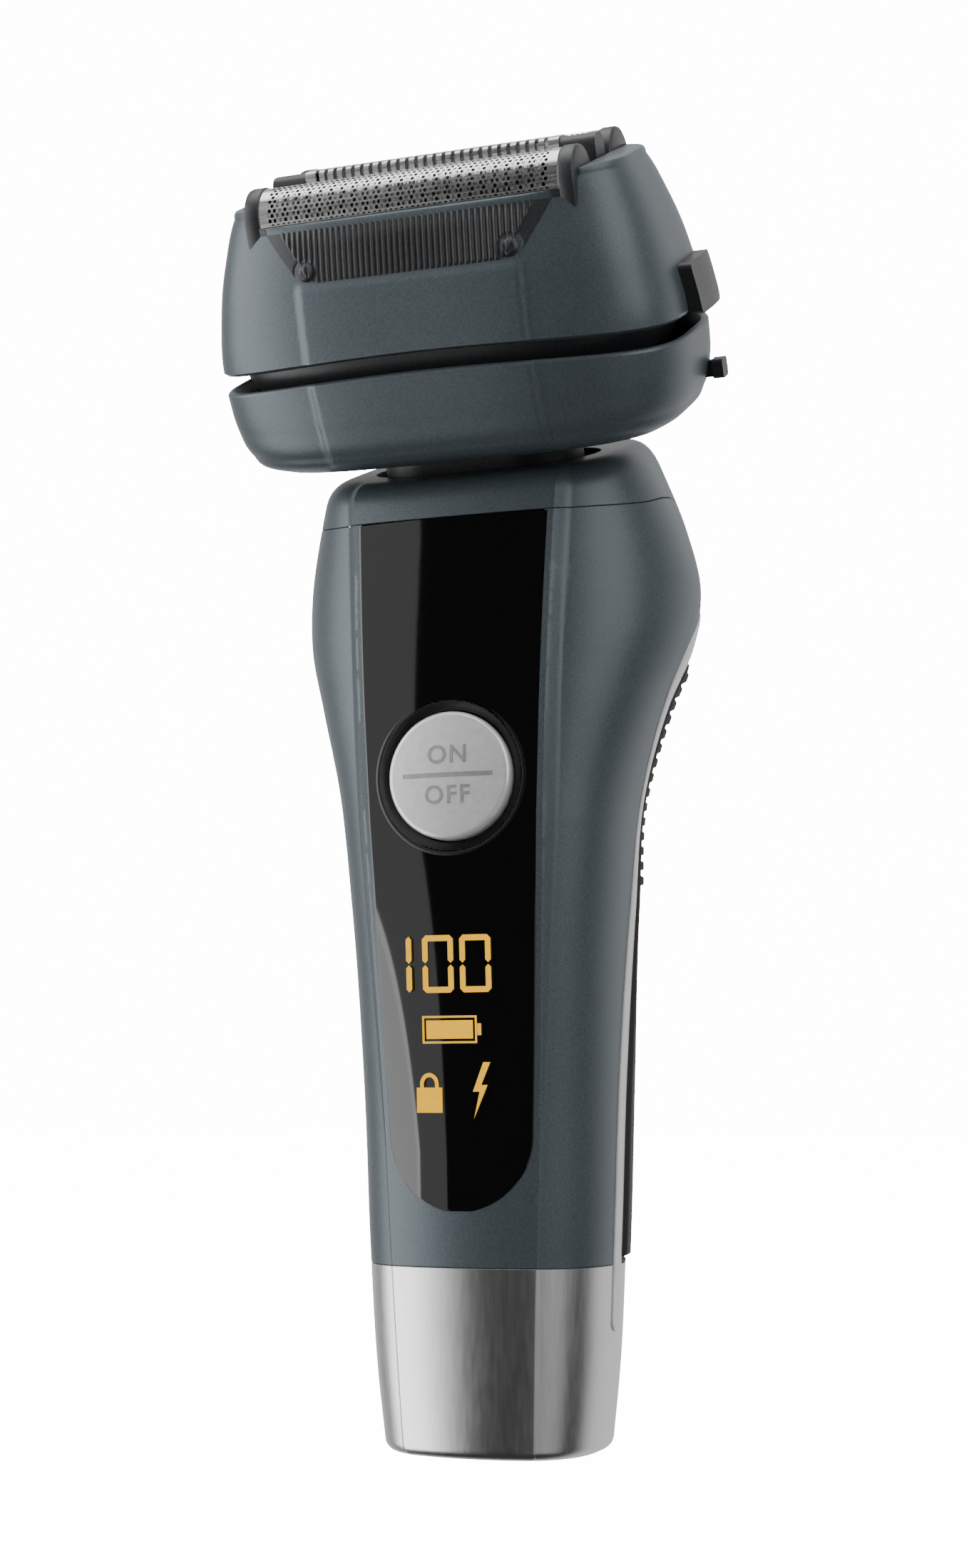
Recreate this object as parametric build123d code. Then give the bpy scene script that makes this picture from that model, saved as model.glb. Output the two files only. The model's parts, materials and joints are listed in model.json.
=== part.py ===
from build123d import *
from collections import namedtuple
from math import atan2, cos, hypot, pi, radians, sin, tan
import os

# Cordless foil shaver: handle, tilting neck, rocking head, two foils and a centre trimmer.
# The origin is at the centre of the foot, +Z runs up the handle and -Y is the display side.
# The head is drawn upright in its own frame and is then laid over by HEAD_TILT about the neck.

os.makedirs("parts", exist_ok=True)

# ---------------------------------------------------------------- driving dimensions, millimetres
Ring = namedtuple("Ring", "z half_width front back centre")

HANDLE_RINGS = [
    Ring(0.0, 13.5, 12.0, 12.9, 0.0),
    Ring(10.0, 14.6, 12.9, 13.5, -0.3),
    Ring(24.0, 15.4, 14.0, 14.0, -0.5),
    Ring(46.0, 16.2, 15.3, 14.0, -0.5),
    Ring(66.0, 17.3, 16.7, 11.9, -0.9),
    Ring(80.0, 18.8, 17.5, 10.9, -2.0),
    Ring(92.0, 22.0, 18.0, 14.0, -2.0),
    Ring(100.0, 24.6, 18.0, 17.2, 0.8),
    Ring(107.0, 25.2, 17.8, 18.6, 3.2),
    Ring(115.0, 23.5, 17.5, 18.5, 2.9),
    Ring(123.0, 20.5, 17.5, 16.8, 2.6),
    Ring(136.0, 14.5, 17.0, 13.5, 2.0),
]
HANDLE_SQUARENESS = 2.6
RING_POINTS = 32
TYPICAL_RING = 1.4
WALL = 1.8
FOOT_CHAMFER = 1.2
CAP_HEIGHT = 22.6
CHIN_Z = 36.0
SPINE_STEP = 1.3
SPINE_FADE = 40.0
SPINE_EDGE = 0.55
FLANK_RUN = 1.1
FLANK_DROP = 1.6
FRONT_CROWN = 0.8

TOP_SLOPE = 22.0
TOP_FRONT_Y = -13.3
TOP_FRONT_Z = 119.7
TOP_FILLET = 1.5
TOP_WALL = 2.0

WINDOW_TOP_HALF = 12.6
WINDOW_FOOT_HALF = 9.4
WINDOW_TOP_Z = 113.3
WINDOW_FOOT_Z = 38.5
WINDOW_DEPTH = 1.2

BUTTON_Z = 81.3
DOME_R = 60.0
BUTTON_R = 7.85
BUTTON_TRAVEL = 0.6
BUTTON_GAP = 0.15
BEZEL_R = 9.4
BEZEL_DROP = 0.7

HEAD_TILT = 28.0
HEAD_Y = -4.0
HEAD_Z = 121.0
PIVOT_R = -2.5
HeadRing = namedtuple("HeadRing", "r half_width half_depth")
CRADLE_RINGS = [
    HeadRing(5.7, 25.2, 13.0),
    HeadRing(6.5, 27.0, 14.9),
    HeadRing(8.5, 28.6, 16.3),
    HeadRing(12.0, 29.7, 17.1),
    HeadRing(15.5, 30.0, 17.5),
    HeadRing(19.5, 30.0, 17.7),
]
FRAME_RINGS = [
    HeadRing(17.0, 29.9, 17.8),
    HeadRing(20.2, 29.9, 17.7),
    HeadRing(25.0, 29.2, 17.0),
    HeadRing(29.3, 28.3, 16.1),
    HeadRing(33.0, 27.2, 14.9),
    HeadRing(36.4, 26.0, 13.6),
    HeadRing(39.5, 24.4, 11.9),
]
SKIRT_RINGS = [
    HeadRing(11.5, 23.6, 12.6),
    HeadRing(14.5, 24.8, 13.8),
    HeadRing(18.0, 27.0, 15.3),
    HeadRing(22.0, 27.6, 15.5),
]
HEAD_SQUARENESS = 3.6
HEAD_WALL = 1.6
SKIRT_WALL = 1.4
RIM_R = 18.1
SEAM_R = 20.3
RIM_ARCH = 1.5
CRADLE_FLOOR = 2.0
FRAME_FRONT_TOP = 36.4
FRAME_SIDE_TOP = 38.3
FRAME_STEP_X = 19.9
WELL_HALF_X = 21.5
WELL_HALF_Q = 12.9
WELL_FLOOR = 26.4
GUIDE_TOP_HALF = 19.2
GUIDE_FOOT_HALF = 13.9
GUIDE_FOOT_R = 29.3
GUIDE_THICK = 0.5

OPEN_HALF_X = 15.5
OPEN_HALF_Q = 9.0
GASKET = 0.6
COLLAR_HALF_X = 13.0
COLLAR_HALF_Q = 7.0
COLLAR_WALL = 1.6
COLLAR_FOOT = -5.0
FLANGE = 3.5
FLANGE_THICK = 1.2
PIN_R = 1.5
RUNNING = 0.05
BEARING_GAP = 0.4
BEARING_LONG = 5.0
LOCK_Q = 5.5
LOCK_R = 9.2
LOCK_TRAVEL = 2.8
LOCK_SLOT = 1.4
ROCK_R = 14.6
ROCK_PIN_R = 1.2

FOIL_R = 4.0
FOIL_Q = 8.4
FOIL_AXIS_R = 36.6
FOIL_SHEET = 0.25
FOIL_HALF = 19.1
FOIL_FOOT = 31.2
CAP_R = 4.2
CAP_THICK = 2.0
CAP_FOOT = 30.0
COMB_TOP = 41.3
COMB_HALF_Q = 1.7
COMB_HALF = 16.6
TOOTH_PITCH = 1.2
STROKE = 1.2
CUTTER_HALF = 17.0
CUTTER_WALL = 0.9
BRIDGE_R = 21.0
BRIDGE_THICK = 1.6
ROD_Q = 9.0
ROD_R = 18.6
ROD_RADIUS = 0.9
SPRING_X = 9.0

LATCH_Q = 2.5
LATCH_HALF_Q = 5.4
LATCH_LOW = 18.5
LATCH_HIGH = 24.8
LATCH_PROUD = 1.7
LATCH_GAP = 0.3
LATCH_STEM_R = 1.4

BATTERY_R = 7.1
BATTERY_LOW = 27.0
BATTERY_LONG = 50.0
BATTERY_Y = 0.8
BOARD_FRONT = -10.6
BOARD_THICK = 1.6
BOARD_HALF = 8.0
BOARD_LOW = 42.0
BOARD_TOP = 91.5
DISPLAY_HALF = 8.0
DISPLAY_LOW = 38.3
DISPLAY_TOP = 65.7
MOTOR_HALF_X = 10.0
MOTOR_HALF_Y = 7.5
MOTOR_LOW = 92.5
MOTOR_LONG = 19.0
SHAFT_R = 1.0
CAM_R = 2.4
CAM_PIN_R = 0.8
SOCKET_HALF_X = 4.7
SOCKET_HALF_Y = 2.6
SOCKET_DEEP = 8.5
SOCKET_Y = 5.5
SOCKET_RIM = 0.9
SCREW_X = 9.2
SCREW_Y = 1.0
SCREW_R = 0.9
GRIP_THICK = 0.9
RIB_PITCH = 1.9
RIB_PROUD = 0.6
RIB_COUNT = 15
RIB_TOP_Z = 97.5
BIG = 60.0


# ---------------------------------------------------------------- shared shapes
def chord_parameters(points):
    """Each point's share of the whole length of the line through the points."""
    steps = [hypot(b[0] - a[0], b[1] - a[1]) for a, b in zip(points, points[1:])]
    return [sum(steps[:k]) / sum(steps) for k in range(len(points))]


def ring_parameters(squareness):
    """One spacing for the points of every ring of a loft, so that the rings share their knots."""
    points = []
    for k in range(RING_POINTS + 1):
        a = 2 * pi * k / RING_POINTS
        radius = (abs(cos(a) / TYPICAL_RING) ** squareness + abs(sin(a)) ** squareness) ** (-1 / squareness)
        points.append((radius * cos(a), radius * sin(a)))
    return chord_parameters(points)


def ring_face(z, half_width, front, back, centre, squareness):
    """A closed superellipse at height z; front and back depths are measured from the handle's axis."""
    points = []
    for k in range(RING_POINTS):
        a = 2 * pi * k / RING_POINTS
        depth = back - centre if sin(a) > 0 else front + centre
        reach = (abs(cos(a)) / half_width) ** squareness + (abs(sin(a)) / depth) ** squareness
        radius = reach ** (-1 / squareness)
        points.append((radius * cos(a), centre + radius * sin(a), z))
    return make_face(Edge.make_spline(points, periodic=True, parameters=ring_parameters(squareness)))


def interpolate(z, field):
    """A handle ring's value at height z, straight between rings."""
    for low, high in zip(HANDLE_RINGS, HANDLE_RINGS[1:]):
        if z <= high.z:
            share = (z - low.z) / (high.z - low.z)
            return getattr(low, field) * (1 - share) + getattr(high, field) * share
    return getattr(HANDLE_RINGS[-1], field)


def handle_loft(grow):
    """The handle as plain superellipses, offset outwards by grow and without its display spine."""
    faces = []
    for ring in HANDLE_RINGS:
        front = ring.front - SPINE_STEP + grow
        wide = ring.half_width + grow
        faces.append(ring_face(ring.z, wide, front, ring.back + grow, ring.centre, HANDLE_SQUARENESS))
    return loft(faces)


def window_half(z):
    """Half the display window's width at height z, above its round chin."""
    share = (z - WINDOW_FOOT_Z) / (WINDOW_TOP_Z - WINDOW_FOOT_Z)
    return WINDOW_FOOT_HALF + share * (WINDOW_TOP_HALF - WINDOW_FOOT_HALF)


def spine_share(z):
    """How much of the display spine's step has grown: nothing at the chin, all of it at the waist."""
    return min(1.0, max(0.0, (z - CHIN_Z) / SPINE_FADE))


def body_drop(ring, half):
    """How far a plain superellipse front has fallen back at half a width from the middle."""
    share = (half / ring.half_width) ** HANDLE_SQUARENESS
    return ring.front * (1 - (1 - share) ** (1 / HANDLE_SQUARENESS))


def squareness_through(across, along):
    """The exponent that takes a superellipse through a point given as shares of its two half axes."""
    low, high = 1.2, 12.0
    for _ in range(40):
        mid = (low + high) / 2
        if across**mid + along**mid > 1:
            low = mid
        else:
            high = mid
    return low


def side_parameters():
    """The spacing of the points from one flank round the back to the other, one for all rings."""
    angles = [-0.75 * (1 - k / 8) for k in range(8)] + [pi * k / 16 for k in range(17)]
    angles = angles + [pi + 0.75 * k / 8 for k in range(1, 9)]
    return chord_parameters([(1.1 * cos(a), sin(a)) for a in angles])


def handle_section(ring):
    """The outside at one height: a crowned front, two short flanks, then the sides and the back."""
    share = spine_share(ring.z)
    half = window_half(ring.z) + SPINE_EDGE
    crown = (1 - share) * body_drop(ring, half) + share * FRONT_CROWN * (half / WINDOW_TOP_HALF) ** 2
    wide = half + 0.15 + FLANK_RUN * share
    edge_y = crown - ring.front
    flank_y = edge_y + 0.15 + FLANK_DROP * share
    depth = ring.front + ring.centre
    power = squareness_through(wide / ring.half_width, (ring.centre - flank_y) / depth)
    start = atan2(flank_y - ring.centre, wide)
    right_side = [(start * (1 - k / 8), power, depth) for k in range(1, 8)]
    rear = ring.back - ring.centre
    back = [(pi * k / 16, HANDLE_SQUARENESS, rear) for k in range(17)]
    left_side = [(pi - a, n, d) for a, n, d in reversed(right_side)]
    points = []
    for a, n, d in right_side + back + left_side:
        radius = ((abs(cos(a)) / ring.half_width) ** n + (abs(sin(a)) / d) ** n) ** (-1 / n)
        points.append((radius * cos(a), ring.centre + radius * sin(a), ring.z))
    right, left = (wide, flank_y, ring.z), (-wide, flank_y, ring.z)
    outline = [
        ThreePointArc((-half, edge_y, ring.z), (0, -ring.front, ring.z), (half, edge_y, ring.z)),
        Line((half, edge_y, ring.z), right),
        Edge.make_spline([right, *points, left], parameters=side_parameters()),
        Line(left, (-half, edge_y, ring.z)),
    ]
    return make_face(Curve() + outline)


def side_face(*edges):
    """A closed outline drawn in the side view: first number Y, second number Z."""
    return make_face(Plane.YZ * (Curve() + list(edges)))


def across(face, half=BIG / 2):
    """Carries a side-view outline through the whole width."""
    return extrude(face, amount=half, both=True)


def stadium(half_x, half_y, bottom, top):
    """An upright prism with rounded ends."""
    base = SlotOverall(2 * half_x, 2 * half_y)
    return Pos(0, 0, bottom) * extrude(base, amount=top - bottom)


def front_prism(*edges):
    """A closed outline drawn in the front view, carried through the front half of the handle."""
    face = make_face(Plane.XZ * (Curve() + list(edges)))
    return extrude(face, amount=BIG / 2, both=True) & block((-BIG, BIG), (-BIG, -5), (-BIG, 200))


def block(x, y, z):
    """A box from (low, high) pairs."""
    size = [pair[1] - pair[0] for pair in (x, y, z)]
    mid = [(pair[1] + pair[0]) / 2 for pair in (x, y, z)]
    return Pos(*mid) * Box(*size)


def pin_x(radius, low, high, y, z):
    """A pin along X."""
    return Pos((low + high) / 2, y, z) * Rot(0, 90, 0) * Cylinder(radius, high - low)


def pin_y(radius, low, high, x, z):
    """A pin along Y."""
    return Pos(x, (low + high) / 2, z) * Rot(90, 0, 0) * Cylinder(radius, high - low)


def pin_z(radius, low, high, x, y):
    """A pin along Z."""
    return Pos(x, y, (low + high) / 2) * Cylinder(radius, high - low)


def both_sides(shape):
    """A shape and its mirror image across the handle's middle plane."""
    return [shape, mirror(shape, about=Plane.YZ)]


def head_loft(rings, grow=0.0):
    """A head shell in the head's own frame, offset outwards by grow."""
    faces = []
    for ring in rings:
        wide = ring.half_width + grow
        deep = ring.half_depth + grow
        faces.append(ring_face(ring.r, wide, deep, deep, 0, HEAD_SQUARENESS))
    return loft(faces)


def below_arch(crest, low=-20):
    """Everything in the head under a line that is highest in the middle and falls to both sides."""
    arc = ThreePointArc((-BIG / 2, crest - RIM_ARCH), (0, crest), (BIG / 2, crest - RIM_ARCH))
    walls = Polyline((BIG / 2, crest - RIM_ARCH), (BIG / 2, low), (-BIG / 2, low), (-BIG / 2, crest - RIM_ARCH))
    return extrude(make_face(Plane.XZ * (Curve() + [arc, walls])), amount=BIG / 2, both=True)


def arch_bar(radius, foot, low, high):
    """A bar along X whose section is a half round on straight legs, about the foil's axis."""
    top = FOIL_AXIS_R
    outline = [
        ThreePointArc((-radius, top), (0, top + radius), (radius, top)),
        Polyline((radius, top), (radius, foot), (-radius, foot), (-radius, top)),
    ]
    face = make_face(Plane.YZ * (Curve() + outline))
    return Pos((low + high) / 2, 0, 0) * extrude(face, amount=(high - low) / 2, both=True)


def write(name, shape):
    """Writes one node: a shape, or a list of separate solids."""
    found = shape if isinstance(shape, list) else [shape]
    solids = [s for item in found for s in item.solids()]
    if not solids:
        raise ValueError(f"{name} has no solid")
    export_step(Compound(children=solids) if len(solids) > 1 else solids[0], f"parts/{name}.step")


# ---------------------------------------------------------------- handle shells
# The parting curves, in the side view. CROWN_LINE parts the shoulder cap from the housing,
# TRIM_FRONT and TRIM_REAR bound the bright trim that runs down both sides.
CROWN_JOIN = (14.5, 106.6)
CROWN_LINE = [
    (-26, 112.2), (-17.5, 113.3), (-8, 115.4), (0, 117.8), (4.5, 118.4), (9, 116.2), (12.3, 111), CROWN_JOIN,
]
CROWN_TAIL = [CROWN_JOIN, (18, 105.6), (26, 105.4)]
TRIM_FRONT = [
    (-1.6, 16.1), (-1.8, 30), (-1.2, 50), (0, 66), (0.6, 80), (0.5, 90),
    (1.8, 97), (5.2, 102), (9.5, 105), CROWN_JOIN,
]
TRIM_REAR = [
    (26, 101), (17, 100.8), (9, 98.6), (5.2, 94), (3.7, 88), (3.5, 80),
    (3.2, 66), (2, 50), (1.5, 30), (1.6, 16.1),
]


def crown_region():
    """Everything above the shoulder parting line."""
    top = Polyline((26, CROWN_TAIL[-1][1]), (26, 150), (-26, 150), (-26, CROWN_LINE[0][1]))
    return across(side_face(Spline(*CROWN_LINE), Spline(*CROWN_TAIL), top))


def trim_region():
    """The bright trim: a strip on each side that joins across the back under the shoulder."""
    low, high = TRIM_FRONT[0], TRIM_REAR[-1]
    tip = ThreePointArc(high, ((low[0] + high[0]) / 2, low[1] - (high[0] - low[0]) / 2), low)
    back = Line((26, CROWN_TAIL[-1][1]), TRIM_REAR[0])
    return across(side_face(Spline(*TRIM_FRONT), Spline(*CROWN_TAIL), back, Spline(*TRIM_REAR), tip))


def rear_region():
    """Everything behind the trim."""
    floor = Polyline(TRIM_REAR[-1], (TRIM_REAR[-1][0], 5), (26, 5), TRIM_REAR[0])
    return across(side_face(Spline(*TRIM_REAR), floor))


def under_top(drop):
    """Everything below the sloping top plane, lowered by drop."""
    slope = tan(radians(TOP_SLOPE))
    low = TOP_FRONT_Z - drop + (-26 - TOP_FRONT_Y) * slope
    high = TOP_FRONT_Z - drop + (26 - TOP_FRONT_Y) * slope
    return across(side_face(Polyline((-26, -5), (26, -5), (26, high), (-26, low), (-26, -5))))


def top_edges(shape):
    """The edges of the face that lies in the sloping top plane."""
    normal = Vector(0, -sin(radians(TOP_SLOPE)), cos(radians(TOP_SLOPE)))
    face = max(shape.faces().filter_by(GeomType.PLANE), key=lambda f: f.normal_at().dot(normal))
    return face.edges()


outer = loft([handle_section(ring) for ring in HANDLE_RINGS]) & under_top(0)
outer = fillet(top_edges(outer), TOP_FILLET)
foot = min(outer.faces().filter_by(GeomType.PLANE), key=lambda f: f.center().Z)
outer = chamfer(foot.edges(), FOOT_CHAMFER)
inner = handle_loft(-WALL) & under_top(TOP_WALL)
inner = inner & block((-BIG, BIG), (-BIG, BIG), (WALL, 200))
shell = outer - inner

place_head = Pos(0, HEAD_Y, HEAD_Z) * Rot(HEAD_TILT, 0, 0)
lean = radians(HEAD_TILT)
PIVOT_Y = HEAD_Y - PIVOT_R * sin(lean)
PIVOT_Z = HEAD_Z + PIVOT_R * cos(lean)


def in_head(shape):
    """Carries a shape, or each of a list of shapes, from the head's own frame to the handle's."""
    if isinstance(shape, list):
        return [place_head * item for item in shape]
    return place_head * shape


neck_hole = in_head(stadium(OPEN_HALF_X, OPEN_HALF_Q, -8, 12))
neck_lining = in_head(stadium(OPEN_HALF_X - GASKET, OPEN_HALF_Q - GASKET, -8, 12))

crown = crown_region()
trim = trim_region()
rear = rear_region()
above_cap = block((-BIG, BIG), (-BIG, BIG), (CAP_HEIGHT, 200))
crown_shell = shell & crown
neck_gasket = (crown_shell & neck_hole) - neck_lining
shoulder_cap = crown_shell - neck_hole
trim_frame = (shell & trim) - crown
rear_cover = ((shell & rear) & above_cap) - crown - trim
main_housing = (shell & above_cap) - crown - trim - rear
base_cap = (shell - above_cap) - trim


# ---------------------------------------------------------------- display, board and start button
def window_prism():
    """The display window's outline, carried through the front: straight sides and a round chin."""
    low, high = WINDOW_FOOT_Z, WINDOW_TOP_Z + 3
    foot_half, top_half = window_half(low), window_half(high)
    sides = Polyline((-foot_half, low), (-top_half, high), (top_half, high), (foot_half, low))
    chin = ThreePointArc((window_half(low), low), (0, low - window_half(low)), (-window_half(low), low))
    return front_prism(sides, chin)


def seven_segments(x, wide, low, high, stroke, lit):
    """One digit as bars: lit names them a to g, clockwise from the top, g across the middle."""
    mid = (low + high) / 2
    bars = {
        "a": block((x, x + wide), (-30, 0), (high - stroke, high)),
        "b": block((x + wide - stroke, x + wide), (-30, 0), (mid + 0.1, high)),
        "c": block((x + wide - stroke, x + wide), (-30, 0), (low, mid - 0.1)),
        "d": block((x, x + wide), (-30, 0), (low, low + stroke)),
        "e": block((x, x + stroke), (-30, 0), (low, mid - 0.1)),
        "f": block((x, x + stroke), (-30, 0), (mid + 0.1, high)),
        "g": block((x, x + wide), (-30, 0), (mid - stroke / 2, mid + stroke / 2)),
    }
    return [bars[key] for key in lit]


def icon_prisms():
    """The lit signs: a charge number, a cell, a padlock and a bolt."""
    bars = seven_segments(-5.9, 0.8, 55.2, 62.0, 0.6, "bc")
    for x in (-3.6, 1.0):
        bars += seven_segments(x, 3.8, 55.2, 62.0, 0.6, "abcdef")
    cell = [block((-4.0, 2.8), (-30, 0), (49.4, 52.2)), block((2.8, 3.4), (-30, 0), (50.2, 51.4))]
    lock = [block((-4.9, -1.7), (-30, 0), (41.0, 43.6))]
    ring = Pos(-3.3, 0, 44.0) * Rot(90, 0, 0) * (Cylinder(1.15, 60) - Cylinder(0.7, 60))
    lock.append(ring & block((-6, 0), (-30, 0), (43.6, 47)))
    bolt = Polyline(
        (3.5, 47), (2.1, 43.2), (3.0, 43.2), (2.5, 40), (4.3, 44.2), (3.3, 44.2), (4.1, 47), (3.5, 47),
    )
    return bars + cell + lock + [front_prism(bolt)]


def window_layer():
    """Everything in front of the window's back face, which follows the spine's front line."""
    line = [(-ring.front + FRONT_CROWN + WINDOW_DEPTH, ring.z) for ring in HANDLE_RINGS[2:]]
    close = Polyline(line[-1], (-40, line[-1][1]), (-40, line[0][1]), line[0])
    return across(side_face(Spline(*line), close))


window = (outer & (window_prism() & window_layer())) - crown
icons = [window & prism for prism in icon_prisms()]
face_y = -interpolate(BUTTON_Z, "front")
bezel_y = face_y + BEZEL_DROP
lip_y = bezel_y + 1.7
flange_y = lip_y + 0.9
bezel_hole = pin_y(BEZEL_R, -30, BOARD_FRONT - 2, 0, BUTTON_Z)
display_window = window - pin_y(BEZEL_R, -30, 0, 0, BUTTON_Z)
display_window = display_window - icons
light_half = DISPLAY_HALF + 0.3
light_hole = block((-light_half, light_half), (-30, -9), (DISPLAY_LOW - 0.3, DISPLAY_TOP + 0.3))
main_housing = main_housing - window - bezel_hole - light_hole
button_bezel = pin_y(BEZEL_R, bezel_y, BOARD_FRONT - 2, 0, BUTTON_Z)
button_bezel = button_bezel - pin_y(BUTTON_R + BUTTON_GAP, -30, 0, 0, BUTTON_Z)
button_bezel = button_bezel - pin_y(BUTTON_R + 2 * BUTTON_GAP + 0.6, lip_y, 0, 0, BUTTON_Z)
dome = Pos(0, face_y - 0.6 + DOME_R, BUTTON_Z) * Sphere(DOME_R)
start_button = pin_y(BUTTON_R, -30, lip_y + BUTTON_GAP, 0, BUTTON_Z) & dome
start_button = chamfer(start_button.edges().sort_by(Axis.Y)[0], 0.25)
start_button = start_button + pin_y(BUTTON_R + 0.6, lip_y + 0.05, flange_y, 0, BUTTON_Z)
switch_y = BOARD_FRONT - 1.7
start_button = start_button + pin_y(1.6, flange_y - 0.2, switch_y - BUTTON_TRAVEL - RUNNING, 0, BUTTON_Z)
button_switch = block((-3, 3), (BOARD_FRONT - 1.2, BOARD_FRONT), (BUTTON_Z - 3, BUTTON_Z + 3))
button_switch = button_switch + pin_y(1.5, switch_y, BOARD_FRONT - 1.1, 0, BUTTON_Z)
board_back = BOARD_FRONT + BOARD_THICK
circuit_board = block((-BOARD_HALF, BOARD_HALF), (BOARD_FRONT, board_back), (BOARD_LOW, BOARD_TOP))
display_module = block((-DISPLAY_HALF, DISPLAY_HALF), (-11.9, BOARD_FRONT), (DISPLAY_LOW, DISPLAY_TOP))

# ---------------------------------------------------------------- battery, chassis, motor, foot
battery_top = BATTERY_LOW + BATTERY_LONG
battery_cell = pin_z(BATTERY_R, BATTERY_LOW, battery_top, 0, BATTERY_Y)
battery_cell = battery_cell + pin_z(2.2, battery_top, battery_top + 1.2, 0, BATTERY_Y)
saddle = BATTERY_R + 0.1
chassis_floor = BATTERY_LOW - 1.5
inner_chassis = block((-saddle - 1.6, saddle + 1.6), (board_back, BATTERY_Y), (chassis_floor, BOARD_TOP))
inner_chassis = inner_chassis - pin_z(saddle, BATTERY_LOW, BOARD_TOP + 1, 0, BATTERY_Y)
for x in (-SCREW_X, SCREW_X):
    inner_chassis = inner_chassis + pin_z(2.2, WALL, chassis_floor + 4, x, SCREW_Y)
inner_chassis = inner_chassis + block((-SCREW_X, SCREW_X), (-1.2, 3.2), (chassis_floor - 2, chassis_floor))
for x in (-SCREW_X, SCREW_X):
    inner_chassis = inner_chassis - pin_z(SCREW_R, 0, 9.5, x, SCREW_Y)
inner_chassis = inner_chassis - pin_z(saddle, BATTERY_LOW, BOARD_TOP + 1, 0, BATTERY_Y)
base_screws = []
for x in (-SCREW_X, SCREW_X):
    drive_slot = block((x - 1.3, x + 1.3), (SCREW_Y - 0.25, SCREW_Y + 0.25), (0, 0.7))
    head = pin_z(1.9, 0.2, 1.2, x, SCREW_Y) - drive_slot
    base_screws.append(head + pin_z(SCREW_R, 1.1, 9.0, x, SCREW_Y))
    base_cap = base_cap - pin_z(SCREW_R + 0.1, -1, WALL + 1, x, SCREW_Y) - pin_z(2.1, -1, 1.2, x, SCREW_Y)
rim_x, rim_y = SOCKET_HALF_X + SOCKET_RIM, SOCKET_HALF_Y + SOCKET_RIM
socket_low, socket_high = SOCKET_Y - 4.5, SOCKET_Y + 4.5
nozzle = Pos(0, SOCKET_Y, 0) * stadium(rim_x, rim_y, 0.3, WALL + 0.2)
recess = Pos(0, SOCKET_Y, 0) * stadium(SOCKET_HALF_X, SOCKET_HALF_Y, -1, SOCKET_DEEP)
base_cap = base_cap - Pos(0, SOCKET_Y, 0) * stadium(rim_x, rim_y, -1, WALL + 1)
charging_socket = nozzle + block((-6.6, 6.6), (socket_low, socket_high), (WALL, SOCKET_DEEP + 2)) - recess
for x in (-2.2, 2.2):
    charging_socket = charging_socket - pin_z(0.6, SOCKET_DEEP - 1, SOCKET_DEEP + 3, x, SOCKET_Y)
contact_pins = [pin_z(0.6, 2.2, SOCKET_DEEP + 2.6, x, SOCKET_Y) for x in (-2.2, 2.2)]
seal_band = block((-BIG, BIG), (-BIG, BIG), (CAP_HEIGHT - 1.2, CAP_HEIGHT + 1.2))
base_seal = (handle_loft(-WALL) - handle_loft(-WALL - 1)) & seal_band
motor_top = MOTOR_LOW + MOTOR_LONG
motor_can = block((-MOTOR_HALF_X, MOTOR_HALF_X), (-MOTOR_HALF_Y, MOTOR_HALF_Y), (MOTOR_LOW, motor_top))
motor_can = motor_can & pin_z(MOTOR_HALF_X, MOTOR_LOW, motor_top, 0, 0)
motor_can = Pos(0, PIVOT_Y, 0) * (motor_can - pin_z(SHAFT_R + RUNNING, motor_top - 4, motor_top + 1, 0, 0))
band_x, band_y = MOTOR_HALF_X + 1.2, MOTOR_HALF_Y + 1.2
motor_band = block((-band_x, band_x), (-band_y, band_y), (MOTOR_LOW + 5, MOTOR_LOW + 11))
motor_band = Pos(0, PIVOT_Y, 0) * motor_band - motor_can
cam_low, cam_top = motor_top + 1.1, motor_top + 3.7
motor_shaft = pin_z(SHAFT_R, motor_top - 3.8, cam_top - 0.8, 0, PIVOT_Y)
drive_cam = pin_z(CAM_R, cam_low, cam_top, 0, PIVOT_Y) - pin_z(SHAFT_R, 0, cam_top - 0.8, 0, PIVOT_Y)
drive_cam = drive_cam + pin_z(CAM_PIN_R, cam_top, PIVOT_Z + 1.8, STROKE, PIVOT_Y)

# ---------------------------------------------------------------- rear grip
grip_edge = Polyline(
    (26, CAP_HEIGHT + 1), (3.2, CAP_HEIGHT + 1), (3.4, 40), (4.6, 66), (5.2, 84),
    (8.5, 96.5), (14, 99.4), (26, 99.4), (26, CAP_HEIGHT + 1),
)
grip_zone = across(side_face(grip_edge))
grip_pocket = grip_zone - handle_loft(-GRIP_THICK)
rear_grip = rear_cover & grip_pocket
rear_cover = rear_cover - grip_pocket
rib_layer = (handle_loft(RIB_PROUD) - handle_loft(-0.3)) & grip_zone
slabs = Part()
for k in range(RIB_COUNT):
    z = RIB_TOP_Z - k * RIB_PITCH
    slabs = slabs + block((-BIG, BIG), (-BIG, BIG), (z - RIB_PITCH * 0.55, z))
rear_grip = rear_grip + (rib_layer & slabs)

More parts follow.
